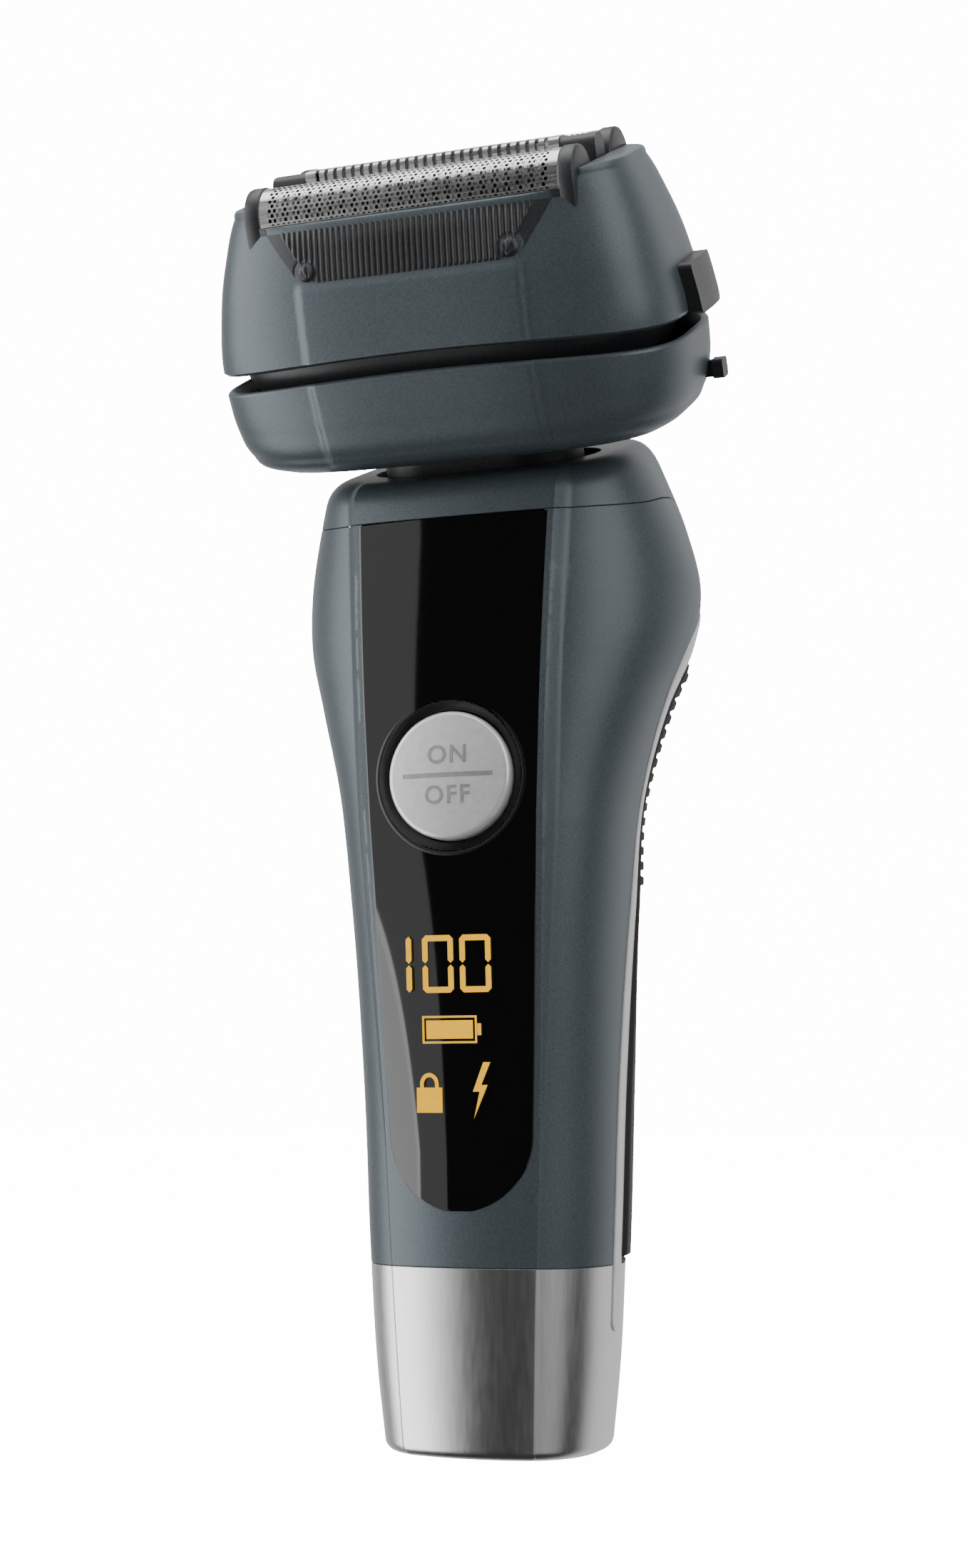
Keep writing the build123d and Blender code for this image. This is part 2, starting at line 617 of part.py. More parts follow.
# ---------------------------------------------------------------- neck: collar, pivot and bearings
neck_bearings = []
for side in (-1, 1):
    low = COLLAR_HALF_X + BEARING_GAP
    ends = sorted((side * low, side * (low + BEARING_LONG)))
    lug = block(ends, (-3, 3), (PIVOT_R - 3, 3)) - pin_x(PIN_R + RUNNING, -BIG, BIG, 0, PIVOT_R)
    neck_bearings.append(in_head(lug) & inner)
flange_r = CRADLE_RINGS[0].r + CRADLE_FLOOR
collar_bore = stadium(COLLAR_HALF_X - COLLAR_WALL, COLLAR_HALF_Q - COLLAR_WALL, COLLAR_FOOT - 1, flange_r + 5)
neck_collar = stadium(COLLAR_HALF_X, COLLAR_HALF_Q, COLLAR_FOOT, flange_r + FLANGE_THICK)
flange = stadium(COLLAR_HALF_X + FLANGE, COLLAR_HALF_Q + FLANGE, flange_r, flange_r + FLANGE_THICK)
neck_collar = neck_collar + flange - collar_bore - pin_x(PIN_R, -BIG, BIG, 0, PIVOT_R)
pin_out = COLLAR_HALF_X + BEARING_GAP + BEARING_LONG - 0.5
pin_in = COLLAR_HALF_X - COLLAR_WALL - 0.4
pivot_pins = [pin_x(PIN_R, pin_in, pin_out, 0, PIVOT_R), pin_x(PIN_R, -pin_out, -pin_in, 0, PIVOT_R)]

cradle_full = head_loft(CRADLE_RINGS) & below_arch(RIM_R)
cradle_hollow = head_loft(CRADLE_RINGS, -HEAD_WALL) & block((-BIG, BIG), (-BIG, BIG), (flange_r, 60))
head_cradle = cradle_full - cradle_hollow - stadium(COLLAR_HALF_X, COLLAR_HALF_Q, 0, 12)
collar_screws = []
for x in (-SCREW_X, SCREW_X):
    for q in (-COLLAR_HALF_Q - FLANGE / 2, COLLAR_HALF_Q + FLANGE / 2):
        shank = pin_z(0.6, flange_r - 1.5, flange_r + FLANGE_THICK, x, q)
        screw_head = pin_z(1.1, flange_r + FLANGE_THICK, flange_r + FLANGE_THICK + 0.7, x, q)
        slot = block((x - 0.8, x + 0.8), (q - 0.15, q + 0.15), (flange_r + FLANGE_THICK + 0.4, 20))
        collar_screws.append(shank + screw_head - slot)
        neck_collar = neck_collar - shank
        head_cradle = head_cradle - shank

lock_low = LOCK_R - 0.2
slot_top = LOCK_R + 2.4 + LOCK_TRAVEL + 0.2
lock_slot = block((20, 40), (LOCK_Q - LOCK_SLOT / 2, LOCK_Q + LOCK_SLOT / 2), (lock_low, slot_top))
head_cradle = head_cradle - lock_slot
swivel_lock = block((30.05, 31.4), (LOCK_Q - 1.3, LOCK_Q + 1.3), (LOCK_R, LOCK_R + 2.4))
swivel_lock = fillet(swivel_lock.edges().filter_by(Axis.X), 0.5)
neck_half = LOCK_SLOT / 2 - 0.1
lock_neck = block((26.2, 30.2), (LOCK_Q - neck_half, LOCK_Q + neck_half), (LOCK_R + 0.2, LOCK_R + 2.2))
swivel_lock = swivel_lock + lock_neck
swivel_lock = swivel_lock + block((25.7, 26.5), (LOCK_Q - 2, LOCK_Q + 2), (LOCK_R - 0.4, LOCK_R + 2.4))

# ---------------------------------------------------------------- rocking head body
rock_end = CRADLE_RINGS[3].half_depth - 0.5
rock_hole = pin_y(ROCK_PIN_R + RUNNING, -rock_end - 0.1, rock_end + 0.1, 0, ROCK_R)
head_cradle = head_cradle - rock_hole
skirt_hollow = head_loft(SKIRT_RINGS, -SKIRT_WALL)
head_skirt = head_loft(SKIRT_RINGS) - skirt_hollow
plate_low, plate_top = ROCK_R - 1.8, ROCK_R + 1.8
head_platform = skirt_hollow & block((-BIG, BIG), (-BIG, BIG), (plate_low, plate_low + 2))
for q in (-1, 1):
    ends = sorted((q * 11.3, q * 8.0))
    head_platform = head_platform + (block((-2.6, 2.6), ends, (plate_low, plate_top)) & skirt_hollow)
rock_pins = [pin_y(ROCK_PIN_R, 9.0, rock_end, 0, ROCK_R), pin_y(ROCK_PIN_R, -rock_end, -9.0, 0, ROCK_R)]
for pin in rock_pins:
    head_platform = head_platform - pin
    head_skirt = head_skirt - pin
arm_way = block((-5.4, 5.4), (-3.6, 3.6), (0, 30))
head_platform = head_platform - arm_way
rod_end = WELL_HALF_X - 0.5
guide_rods = []
for q in (-ROD_Q, ROD_Q):
    guide_rods.append(pin_x(ROD_RADIUS, -rod_end, rod_end, q, ROD_R))
    for side in (-1, 1):
        ends = sorted((side * (rod_end - 2.5), side * rod_end))
        post = block(ends, (q - 1.6, q + 1.6), (plate_low + 2, ROD_R + 1.6))
        head_platform = head_platform + (post & skirt_hollow)
for rod in guide_rods:
    head_platform = head_platform - rod
latch_r = (LATCH_LOW + LATCH_HIGH) / 2
stem_in, guide_in, guide_out = 22.4, 22.3, 24.2
latch_guides = []
for side in (-1, 1):
    ends = sorted((side * guide_in, side * guide_out))
    guide = block(ends, (LATCH_Q - 2.4, LATCH_Q + 2.4), (plate_low + 2, latch_r + 2.4)) & skirt_hollow
    latch_guides.append(guide - pin_x(LATCH_STEM_R + RUNNING, -BIG, BIG, LATCH_Q, latch_r))
notch_q = LATCH_HALF_Q + LATCH_GAP
notch_span = (LATCH_Q - notch_q, LATCH_Q + notch_q)
notch = block((guide_out + 0.6, 40), notch_span, (LATCH_LOW - LATCH_GAP, LATCH_HIGH + LATCH_GAP))
notches = both_sides(notch)
low_notch = block((guide_out + 0.6, 40), notch_span, (10, LATCH_HIGH + LATCH_GAP))
low_notches = both_sides(low_notch)
for cut in notches:
    head_skirt = head_skirt - cut
latch = block((26.0, 40), (LATCH_Q - LATCH_HALF_Q, LATCH_Q + LATCH_HALF_Q), (LATCH_LOW, LATCH_HIGH))
latch = fillet(latch.edges().filter_by(Axis.X), 1.0)
latch = latch & head_loft(FRAME_RINGS, LATCH_PROUD)
latch = latch + pin_x(LATCH_STEM_R, stem_in, 26.2, LATCH_Q, latch_r)
release_button_right = latch
release_button_left = mirror(latch, about=Plane.YZ)

# ---------------------------------------------------------------- foil frame
frame_full = head_loft(FRAME_RINGS) - below_arch(SEAM_R)
frame_full = frame_full & block((-BIG, BIG), (-BIG, BIG), (0, FRAME_SIDE_TOP))
frame_full = frame_full - block((-FRAME_STEP_X, FRAME_STEP_X), (-BIG, BIG), (FRAME_FRONT_TOP, 60))
well = block((-WELL_HALF_X, WELL_HALF_X), (-WELL_HALF_Q, WELL_HALF_Q), (WELL_FLOOR, 60))
frame_hollow = head_loft(FRAME_RINGS, -HEAD_WALL) & block((-BIG, BIG), (-BIG, BIG), (0, WELL_FLOOR + 1.6))
foil_frame = frame_full - frame_hollow - well
for cut in low_notches:
    foil_frame = foil_frame - cut
foot_half, top_half = GUIDE_FOOT_HALF, GUIDE_TOP_HALF
guide_outline = Polyline(
    (-foot_half, GUIDE_FOOT_R), (-top_half, FRAME_FRONT_TOP), (-top_half, 50), (top_half, 50),
    (top_half, FRAME_FRONT_TOP), (foot_half, GUIDE_FOOT_R), (-foot_half, GUIDE_FOOT_R),
)
guide_prism = extrude(make_face(Plane.XZ * guide_outline), amount=BIG / 2, both=True)
guide_front = guide_prism & block((-BIG, BIG), (-BIG, -8), (0, 60))
guide_pocket = guide_front - head_loft(FRAME_RINGS, -GUIDE_THICK)
skin_guide_front = foil_frame & guide_pocket
skin_guide_rear = mirror(skin_guide_front, about=Plane.XZ)
foil_frame = foil_frame - guide_pocket - mirror(guide_pocket, about=Plane.XZ)

cassette_top = WELL_FLOOR + 1.6
foil_cassette = block((-WELL_HALF_X, WELL_HALF_X), (-WELL_HALF_Q, WELL_HALF_Q), (WELL_FLOOR, cassette_top))
way_x, way_q = FOIL_HALF + 0.6, FOIL_R - 0.1
for q, half in ((-FOIL_Q, way_q), (0, COMB_HALF_Q + 0.5), (FOIL_Q, way_q)):
    foil_cassette = foil_cassette - block((-way_x, way_x), (q - half, q + half), (0, 60))
for q in (-3.0, 3.0):
    foil_cassette = foil_cassette + block((-WELL_HALF_X, WELL_HALF_X), (q - 0.45, q + 0.45), (cassette_top, 34))

# ---------------------------------------------------------------- foils, comb and their end caps
foil = arch_bar(FOIL_R, FOIL_FOOT, -FOIL_HALF, FOIL_HALF)
foil = foil - arch_bar(FOIL_R - FOIL_SHEET, FOIL_FOOT - 1, -FOIL_HALF - 1, FOIL_HALF + 1)
cap_out = FOIL_HALF + CAP_THICK
foil_caps = both_sides(arch_bar(CAP_R, CAP_FOOT, FOIL_HALF, cap_out))
front_foil = Pos(0, -FOIL_Q, 0) * foil
rear_foil = Pos(0, FOIL_Q, 0) * foil
front_foil_caps = [Pos(0, -FOIL_Q, 0) * cap for cap in foil_caps]
rear_foil_caps = [Pos(0, FOIL_Q, 0) * cap for cap in foil_caps]
comb_foot = 35.0
centre_comb = block((-COMB_HALF, COMB_HALF), (-COMB_HALF_Q, COMB_HALF_Q), (comb_foot, COMB_TOP))
centre_comb = fillet(centre_comb.edges().filter_by(Axis.X).group_by(Axis.Z)[-1], 0.8)
centre_comb = centre_comb - block((-BIG, BIG), (-COMB_HALF_Q + 0.35, COMB_HALF_Q - 0.35), (0, COMB_TOP - 0.35))
tooth_count = int(2 * (COMB_HALF - 1) / TOOTH_PITCH)
slits = []
for k in range(tooth_count):
    x = (k - (tooth_count - 1) / 2) * TOOTH_PITCH
    slits.append(block((x - 0.25, x + 0.25), (-5, 5), (COMB_TOP - 1.8, 60)))
    slits[-1] = slits[-1] - block((-BIG, BIG), (-0.7, 0.7), (0, 60))
centre_comb = centre_comb - [solid for slit in slits for solid in slit.solids()]
end_block = block((COMB_HALF, cap_out), (-COMB_HALF_Q - 0.2, COMB_HALF_Q + 0.2), (CAP_FOOT, COMB_TOP - 0.2))
end_block = fillet(end_block.edges().filter_by(Axis.X).group_by(Axis.Z)[-1], 1.4)
comb_caps = both_sides(end_block)

# ---------------------------------------------------------------- oscillating bridge and cutters
orbit = STROKE + CAM_PIN_R
fork_slot_x = orbit + STROKE + 1.2
fork_low, fork_top = -3.2, 2.4
drive_fork = block((-fork_slot_x - 1, fork_slot_x + 1), (-4.0, 4.5), (fork_low, fork_top))
drive_fork = drive_fork - block((-fork_slot_x, fork_slot_x), (-2.9, 3.4), (fork_low - 1, fork_top - 0.01))
drive_fork = drive_fork + block((-2.5, 2.5), (-2.3, 2.3), (fork_top, BRIDGE_R))
drive_bridge = block((-CUTTER_HALF, CUTTER_HALF), (-11, 11), (BRIDGE_R, BRIDGE_R + BRIDGE_THICK))
for q in (-ROD_Q, ROD_Q):
    for x in (-12.5, 12.5):
        drive_bridge = drive_bridge + block((x - 1.6, x + 1.6), (q - 1.5, q + 1.5), (ROD_R - 1.3, BRIDGE_R))
    drive_bridge = drive_bridge - pin_x(ROD_RADIUS + RUNNING, -BIG, BIG, q, ROD_R)
post_top = WELL_FLOOR + 3
for q in (-FOIL_Q, FOIL_Q):
    for x in (-SPRING_X, SPRING_X):
        drive_bridge = drive_bridge + pin_z(0.8, BRIDGE_R + BRIDGE_THICK, post_top, x, q)


def coil(radius, wire, low, high, turns):
    """A compression spring along Z."""
    path = Helix(pitch=(high - low - 2 * wire) / turns, height=high - low - 2 * wire, radius=radius)
    section = Plane(path @ 0, z_dir=path % 0) * Circle(wire)
    return Pos(0, 0, low + wire) * sweep(section, path=path)


carrier_foot = CAP_FOOT - 0.6
bore_top = carrier_foot + 3.5
arch_in = FOIL_R - FOIL_SHEET - RUNNING
cutter = arch_bar(arch_in, FOIL_AXIS_R - 2.4, -CUTTER_HALF, CUTTER_HALF)
cutter = cutter - arch_bar(arch_in - CUTTER_WALL, 0, -BIG, BIG)
blade_gaps = []
for k in range(22):
    x = (k - 10.5) * 1.5
    blade_gaps.append(block((x - 0.4, x + 0.4), (-9, 9), (FOIL_AXIS_R - 1.4, 60)))
cutter = cutter - blade_gaps
carrier = arch_bar(arch_in - CUTTER_WALL, carrier_foot, -CUTTER_HALF + 0.4, CUTTER_HALF - 0.4)
for x in (-SPRING_X, SPRING_X):
    carrier = carrier - pin_z(1.5, carrier_foot - 1, bore_top, x, 0)
spring_low = BRIDGE_R + BRIDGE_THICK
springs = [Pos(x, 0, 0) * coil(1.15, 0.15, spring_low, bore_top, 9) for x in (-SPRING_X, SPRING_X)]
trimmer_blade = block((-COMB_HALF + 2, COMB_HALF - 2), (-1.2, 1.2), (COMB_TOP - 1.5, COMB_TOP - 0.4))
blade_slits = []
for k in range(tooth_count - 4):
    x = (k - (tooth_count - 5) / 2) * TOOTH_PITCH
    for low in (0.5, -5):
        blade_slits.append(block((x - 0.3, x + 0.3), (low, low + 4.5), (0, 60)))
trimmer_blade = trimmer_blade - blade_slits
blade_half = COMB_HALF - 3
trimmer_blade = trimmer_blade + block((-blade_half, blade_half), (-0.9, 0.9), (carrier_foot, COMB_TOP - 1.5))
trimmer_blade = trimmer_blade - pin_z(0.7, carrier_foot - 1, bore_top, 0, 0)
trimmer_spring = coil(0.5, 0.12, spring_low, bore_top, 10)

# ---------------------------------------------------------------- write the nodes
handle_nodes = {
    "main_housing": main_housing, "shoulder_cap": shoulder_cap, "base_cap": base_cap,
    "trim_frame": trim_frame, "rear_cover": rear_cover, "rear_grip": rear_grip,
    "display_window": display_window, "display_icons": icons, "display_module": display_module,
    "button_bezel": button_bezel, "start_button": start_button, "button_switch": button_switch,
    "circuit_board": circuit_board, "battery_cell": battery_cell, "inner_chassis": inner_chassis,
    "base_screws": base_screws, "base_seal": base_seal, "charging_socket": charging_socket,
    "contact_pins": contact_pins, "motor_can": motor_can, "motor_band": motor_band,
    "motor_shaft": motor_shaft, "drive_cam": drive_cam, "neck_gasket": neck_gasket,
    "neck_bearings": neck_bearings,
}
head_nodes = {
    "neck_collar": neck_collar, "pivot_pins": pivot_pins, "collar_screws": collar_screws,
    "head_cradle": head_cradle, "swivel_lock": swivel_lock, "head_skirt": head_skirt,
    "head_platform": head_platform, "rock_pins": rock_pins, "guide_rods": guide_rods,
    "latch_guides": latch_guides, "release_button_left": release_button_left,
    "release_button_right": release_button_right, "foil_frame": foil_frame,
    "skin_guide_front": skin_guide_front, "skin_guide_rear": skin_guide_rear,
    "foil_cassette": foil_cassette, "front_foil": front_foil, "front_foil_caps": front_foil_caps,
    "rear_foil": rear_foil, "rear_foil_caps": rear_foil_caps, "centre_comb": centre_comb,
    "comb_caps": comb_caps, "drive_fork": drive_fork, "drive_bridge": drive_bridge,
    "front_cutter": Pos(0, -FOIL_Q, 0) * cutter, "front_cutter_carrier": Pos(0, -FOIL_Q, 0) * carrier,
    "rear_cutter": Pos(0, FOIL_Q, 0) * cutter, "rear_cutter_carrier": Pos(0, FOIL_Q, 0) * carrier,
    "front_cutter_springs": [Pos(0, -FOIL_Q, 0) * spring for spring in springs],
    "rear_cutter_springs": [Pos(0, FOIL_Q, 0) * spring for spring in springs],
    "trimmer_blade": trimmer_blade, "trimmer_spring": trimmer_spring,
}
for name, shape in handle_nodes.items():
    write(name, shape)
for name, shape in head_nodes.items():
    write(name, in_head(shape))
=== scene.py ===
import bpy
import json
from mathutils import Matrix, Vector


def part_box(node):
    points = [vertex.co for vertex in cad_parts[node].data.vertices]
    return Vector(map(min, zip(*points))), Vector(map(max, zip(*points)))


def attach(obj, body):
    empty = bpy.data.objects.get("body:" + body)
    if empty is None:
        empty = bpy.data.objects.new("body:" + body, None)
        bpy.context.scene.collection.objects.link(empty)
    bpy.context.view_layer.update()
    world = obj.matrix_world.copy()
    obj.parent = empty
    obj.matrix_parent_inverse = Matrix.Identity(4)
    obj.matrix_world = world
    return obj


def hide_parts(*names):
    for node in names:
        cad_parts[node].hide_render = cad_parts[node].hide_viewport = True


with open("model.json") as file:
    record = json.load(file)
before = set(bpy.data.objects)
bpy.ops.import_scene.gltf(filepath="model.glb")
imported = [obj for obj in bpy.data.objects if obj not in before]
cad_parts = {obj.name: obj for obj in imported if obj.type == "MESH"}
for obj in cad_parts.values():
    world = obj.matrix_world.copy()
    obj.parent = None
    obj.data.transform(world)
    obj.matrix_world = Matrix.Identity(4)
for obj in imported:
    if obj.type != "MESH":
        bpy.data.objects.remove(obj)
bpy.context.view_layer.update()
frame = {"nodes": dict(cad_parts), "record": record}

import json
from math import cos, pi, radians, sin, tan
import bpy
import numpy as np
from mathutils import Vector


# ---- Main housing: the grey front and sides of the handle, a painted plastic shell from the
# chrome cap up to the shoulder line and round to the trim. It is left open under the display
# window, which is glued over it.
MM = 0.001
HANDLE_Z = [0, 10, 24, 46, 66, 80, 92, 100, 107, 115, 123, 136]
HANDLE_HALF = [13.5, 14.6, 15.4, 16.2, 17.3, 18.8, 22.0, 24.6, 25.2, 23.5, 20.5, 14.5]
HANDLE_FRONT = [12.0, 12.9, 14.0, 15.3, 16.7, 17.5, 18.0, 18.0, 17.8, 17.5, 17.5, 17.0]
HANDLE_BACK = [12.9, 13.5, 14.0, 14.0, 11.9, 10.9, 14.0, 17.2, 18.6, 18.5, 16.8, 13.5]
HANDLE_MIDDLE = [0.0, -0.3, -0.5, -0.5, -0.9, -2.0, -2.0, 0.8, 3.2, 2.9, 2.6, 2.0]
SQUARE = 2.6
CAP_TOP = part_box("base_cap")[1][2] / MM
CHIN_END = 0.2
FLANK_END = 0.22
CHIN_Z, CHIN_HALF = 38.5, 9.4
WINDOW_EDGE = 0.55
FLANK_START, FLANK_RISE = 36, 40
CROWN = 0.8
TRIM_TIP_Z, TRIM_FRONT_TOP, TRIM_REAR_TOP = 16.1, 106.6, 100.8
GROOVE = 0.12


def smooth_line(at, knots, values):
    """Values between knots on a cubic whose slopes are those of the neighbours."""
    knots, values = np.asarray(knots, float), np.asarray(values, float)
    slopes = np.gradient(values, knots)
    at = np.clip(at, knots[0], knots[-1])
    i = np.clip(np.searchsorted(knots, at, side="right") - 1, 0, len(knots) - 2)
    step = knots[i + 1] - knots[i]
    t = (at - knots[i]) / step
    start = (2 * t**3 - 3 * t**2 + 1) * values[i] + (t**3 - 2 * t**2 + t) * step * slopes[i]
    end = (3 * t**2 - 2 * t**3) * values[i + 1] + (t**3 - t**2) * step * slopes[i + 1]
    return start + end


def halved(is_low, low, high, steps):
    """Where is_low stops holding between low and high, found by halving the span."""
    for _ in range(steps):
        middle = (low + high) / 2
        lower = is_low(middle)
        low, high = np.where(lower, middle, low), np.where(lower, high, middle)
    return low


def window_half(z):
    """Half the display window's width: it widens evenly from the chin to the shoulder."""
    return CHIN_HALF + (z - CHIN_Z) / 74.8 * 3.2


def side_power(half_width, depth, wide, back):
    """The exponent of the superellipse that leaves the side and ends at the flank's foot: the one
    that makes the foot's two shares, each to that power, add up to 1."""
    return halved(lambda n: (wide / half_width) ** n + (back / depth) ** n > 1,
                  np.full_like(wide, 1.2), np.full_like(wide, 12.0), 40)


def handle_sizes(z):
    """The section's sizes at each height. The front is a parabola across the window, then a short
    flat flank, then a superellipse to the side; below the waist the flank fades out."""
    half_width = smooth_line(z, HANDLE_Z, HANDLE_HALF)
    front = smooth_line(z, HANDLE_Z, HANDLE_FRONT)
    rear = smooth_line(z, HANDLE_Z, HANDLE_BACK)
    middle = smooth_line(z, HANDLE_Z, HANDLE_MIDDLE)
    share = np.clip((z - FLANK_START) / FLANK_RISE, 0, 1)
    half = window_half(z) + WINDOW_EDGE
    plain = front * (1 - (1 - (half / half_width) ** SQUARE) ** (1 / SQUARE))
    crown = (1 - share) * plain + share * CROWN * (half / 12.6) ** 2
    wide = half + 0.15 + 1.1 * share
    flank = crown - front + 0.15 + 1.6 * share
    depth = front + middle
    power = side_power(half_width, depth, wide, middle - flank)
    return half_width, front, rear, middle, half, crown, wide, flank, depth, power


def handle_point(z, place):
    """The point of the handle's outside at a height and a place round the section. Place 0 is the
    middle of the front, 1 the middle of the back, and its sign is the side."""
    z, place = np.broadcast_arrays(np.asarray(z, float), np.asarray(place, float))
    half_width, front, rear, middle, half, crown, wide, flank, depth, power = handle_sizes(z)
    p = np.abs(place)
    x_front = half * p / CHIN_END
    y_front = -front + crown * (x_front / half) ** 2
    t = np.clip((p - CHIN_END) / (FLANK_END - CHIN_END), 0, 1)
    x_flank = half + (wide - half) * t
    y_flank = crown - front + (flank - crown + front) * t
    start = np.arctan2(flank - middle, wide)
    angle = np.where(p < 0.5, start * (0.5 - p) / (0.5 - FLANK_END), (p - 0.5) * pi)
    n = np.where(p < 0.5, power, SQUARE)
    d = np.where(p < 0.5, depth, rear - middle)
    reach = (np.abs(np.cos(angle)) / half_width) ** n + (np.abs(np.sin(angle)) / d) ** n
    radius = reach ** (-1 / n)
    x = np.where(p < CHIN_END, x_front, np.where(p < FLANK_END, x_flank, radius * np.cos(angle)))
    y = np.where(p < CHIN_END, y_front,
                 np.where(p < FLANK_END, y_flank, middle + radius * np.sin(angle)))
    return np.stack([np.sign(place) * x, y, z], axis=-1)


def place_at_depth(z, y):
    """The place round the section whose depth is y."""
    return halved(lambda place: handle_point(z, place)[..., 1] < y,
                  np.full_like(z, FLANK_END), np.ones_like(z), 30)


def shoulder_line(y):
    """The shoulder parting's height at a depth."""
    depths = [-26, -17.5, -8, 0, 4.5, 9, 12.3, 14.5, 18, 26]
    heights = [112.2, 113.3, 115.4, 117.8, 118.4, 116.2, 111, 106.6, 105.6, 105.4]
    return smooth_line(y, depths, heights)


def shoulder_height(place_of):
    """Where a column of the handle meets the shoulder line."""
    columns_there = place_of(100.0)
    return halved(lambda z: z < shoulder_line(handle_point(z, place_of(z))[..., 1]),
                  np.full_like(columns_there, 95.0), np.full_like(columns_there, 120.0), 36)


def trim_front(z):
    """The trim's front edge: the place round the section at each height."""
    heights = [14, 30, 50, 66, 80, 90, 97, 102, 105, TRIM_FRONT_TOP]
    depths = [-1.6, -1.8, -1.2, 0, 0.6, 0.5, 1.8, 5.2, 9.5, 14.5]
    return place_at_depth(z, smooth_line(z, heights, depths))


def normals_of(points):
    """Unit normals of a grid of points, by differences along both parameters."""
    along = np.gradient(points, axis=0)
    across = np.gradient(points, axis=1)
    normal = np.cross(across, along)
    return normal / np.maximum(np.linalg.norm(normal, axis=-1, keepdims=True), 1e-12)


def grid_faces(rows, columns, closed=False):
    """The quads of a grid of rows by columns, closed across the columns if asked."""
    across = columns if closed else columns - 1
    r, c = np.meshgrid(np.arange(rows - 1), np.arange(across), indexing="ij")
    n = (c + 1) % columns
    quads = np.stack([r * columns + c, r * columns + n, (r + 1) * columns + n,
                      (r + 1) * columns + c], axis=-1)
    return quads.reshape(-1, 4)


def make_piece(name, points, faces, finish, body, replaces=(), slot=None, sharp=40.0):
    """A mesh object from points in millimetres, riding on a body and standing for CAD nodes."""
    points = np.asarray(points, dtype=float).reshape(-1, 3) * MM
    faces = np.asarray(faces, dtype=int)
    mesh = bpy.data.meshes.new(name)
    mesh.from_pydata(points.tolist(), [], faces.tolist())
    mesh.validate()
    mesh.polygons.foreach_set("use_smooth", np.ones(len(mesh.polygons), dtype=bool))
    mesh.set_sharp_from_angle(angle=radians(sharp))
    piece = bpy.data.objects.new(name, mesh)
    bpy.context.scene.collection.objects.link(piece)
    mesh.materials.append(finish)
    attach(piece, body)
    if replaces:
        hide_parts(*replaces)
    return piece


def surface(name, points, finish, body, closed=False, flip=False, keep=None, **more):
    """A grid piece; keep, if given, is a mask of the quads that stay."""
    rows, columns = points.shape[:2]
    faces = grid_faces(rows, columns, closed)
    if keep is not None:
        faces = faces[keep.reshape(-1)]
    if flip:
        faces = faces[:, ::-1]
    return make_piece(name, points, faces, finish, body, **more)


def new_group(name, sockets):
    """A node group with the given (name, in or out, kind, default) sockets."""
    group = bpy.data.node_groups.new(name, "ShaderNodeTree")
    for label, way, kind, value in sockets:
        socket = group.interface.new_socket(name=label, in_out=way, socket_type=kind)
        if value is not None:
            socket.default_value = value
    return group, group.nodes.new("NodeGroupInput"), group.nodes.new("NodeGroupOutput")


def grain_group():
    """Fine paint grain: noise at the given size, as a mask and a bumped normal."""
    sockets = [
        ("Size", "INPUT", "NodeSocketFloat", 5000.0), ("Relief", "INPUT", "NodeSocketFloat", 0.2),
        ("Mask", "OUTPUT", "NodeSocketFloat", None), ("Normal", "OUTPUT", "NodeSocketVector", None),
    ]
    group, inside, outside = new_group("fine_grain", sockets)
    place = group.nodes.new("ShaderNodeTexCoord")
    noise = group.nodes.new("ShaderNodeTexNoise")
    noise.inputs["Detail"].default_value = 3.0
    noise.inputs["Roughness"].default_value = 0.7
    bump = group.nodes.new("ShaderNodeBump")
    bump.inputs["Distance"].default_value = 0.00004
    group.links.new(place.outputs["Object"], noise.inputs["Vector"])
    group.links.new(inside.outputs["Size"], noise.inputs["Scale"])
    group.links.new(noise.outputs["Fac"], bump.inputs["Height"])
    group.links.new(inside.outputs["Relief"], bump.inputs["Strength"])
    group.links.new(noise.outputs["Fac"], outside.inputs["Mask"])
    group.links.new(bump.outputs["Normal"], outside.inputs["Normal"])
    return group


GRAIN = grain_group()


def blank_material(name):
    """A material with a principled shader, and that shader."""
    material = bpy.data.materials.new(name)
    material.use_nodes = True
    shader = next(n for n in material.node_tree.nodes if n.type == "BSDF_PRINCIPLED")
    return material, shader


def colour_between(tree, mask, low, high, dark, light):
    """A colour ramp from dark to light as the mask goes from low to high."""
    ramp = tree.nodes.new("ShaderNodeValToRGB")
    ramp.color_ramp.elements[0].position = low
    ramp.color_ramp.elements[0].color = (*dark, 1)
    ramp.color_ramp.elements[1].position = high
    ramp.color_ramp.elements[1].color = (*light, 1)
    tree.links.new(mask, ramp.inputs["Fac"])
    return ramp.outputs["Color"]


def value_between(tree, mask, low, high):
    """A number from low to high as the mask goes from 0.3 to 0.7."""
    spread = tree.nodes.new("ShaderNodeMapRange")
    spread.inputs["From Min"].default_value = 0.3
    spread.inputs["From Max"].default_value = 0.7
    spread.inputs["To Min"].default_value = low
    spread.inputs["To Max"].default_value = high
    tree.links.new(mask, spread.inputs["Value"])
    return spread.outputs["Result"]


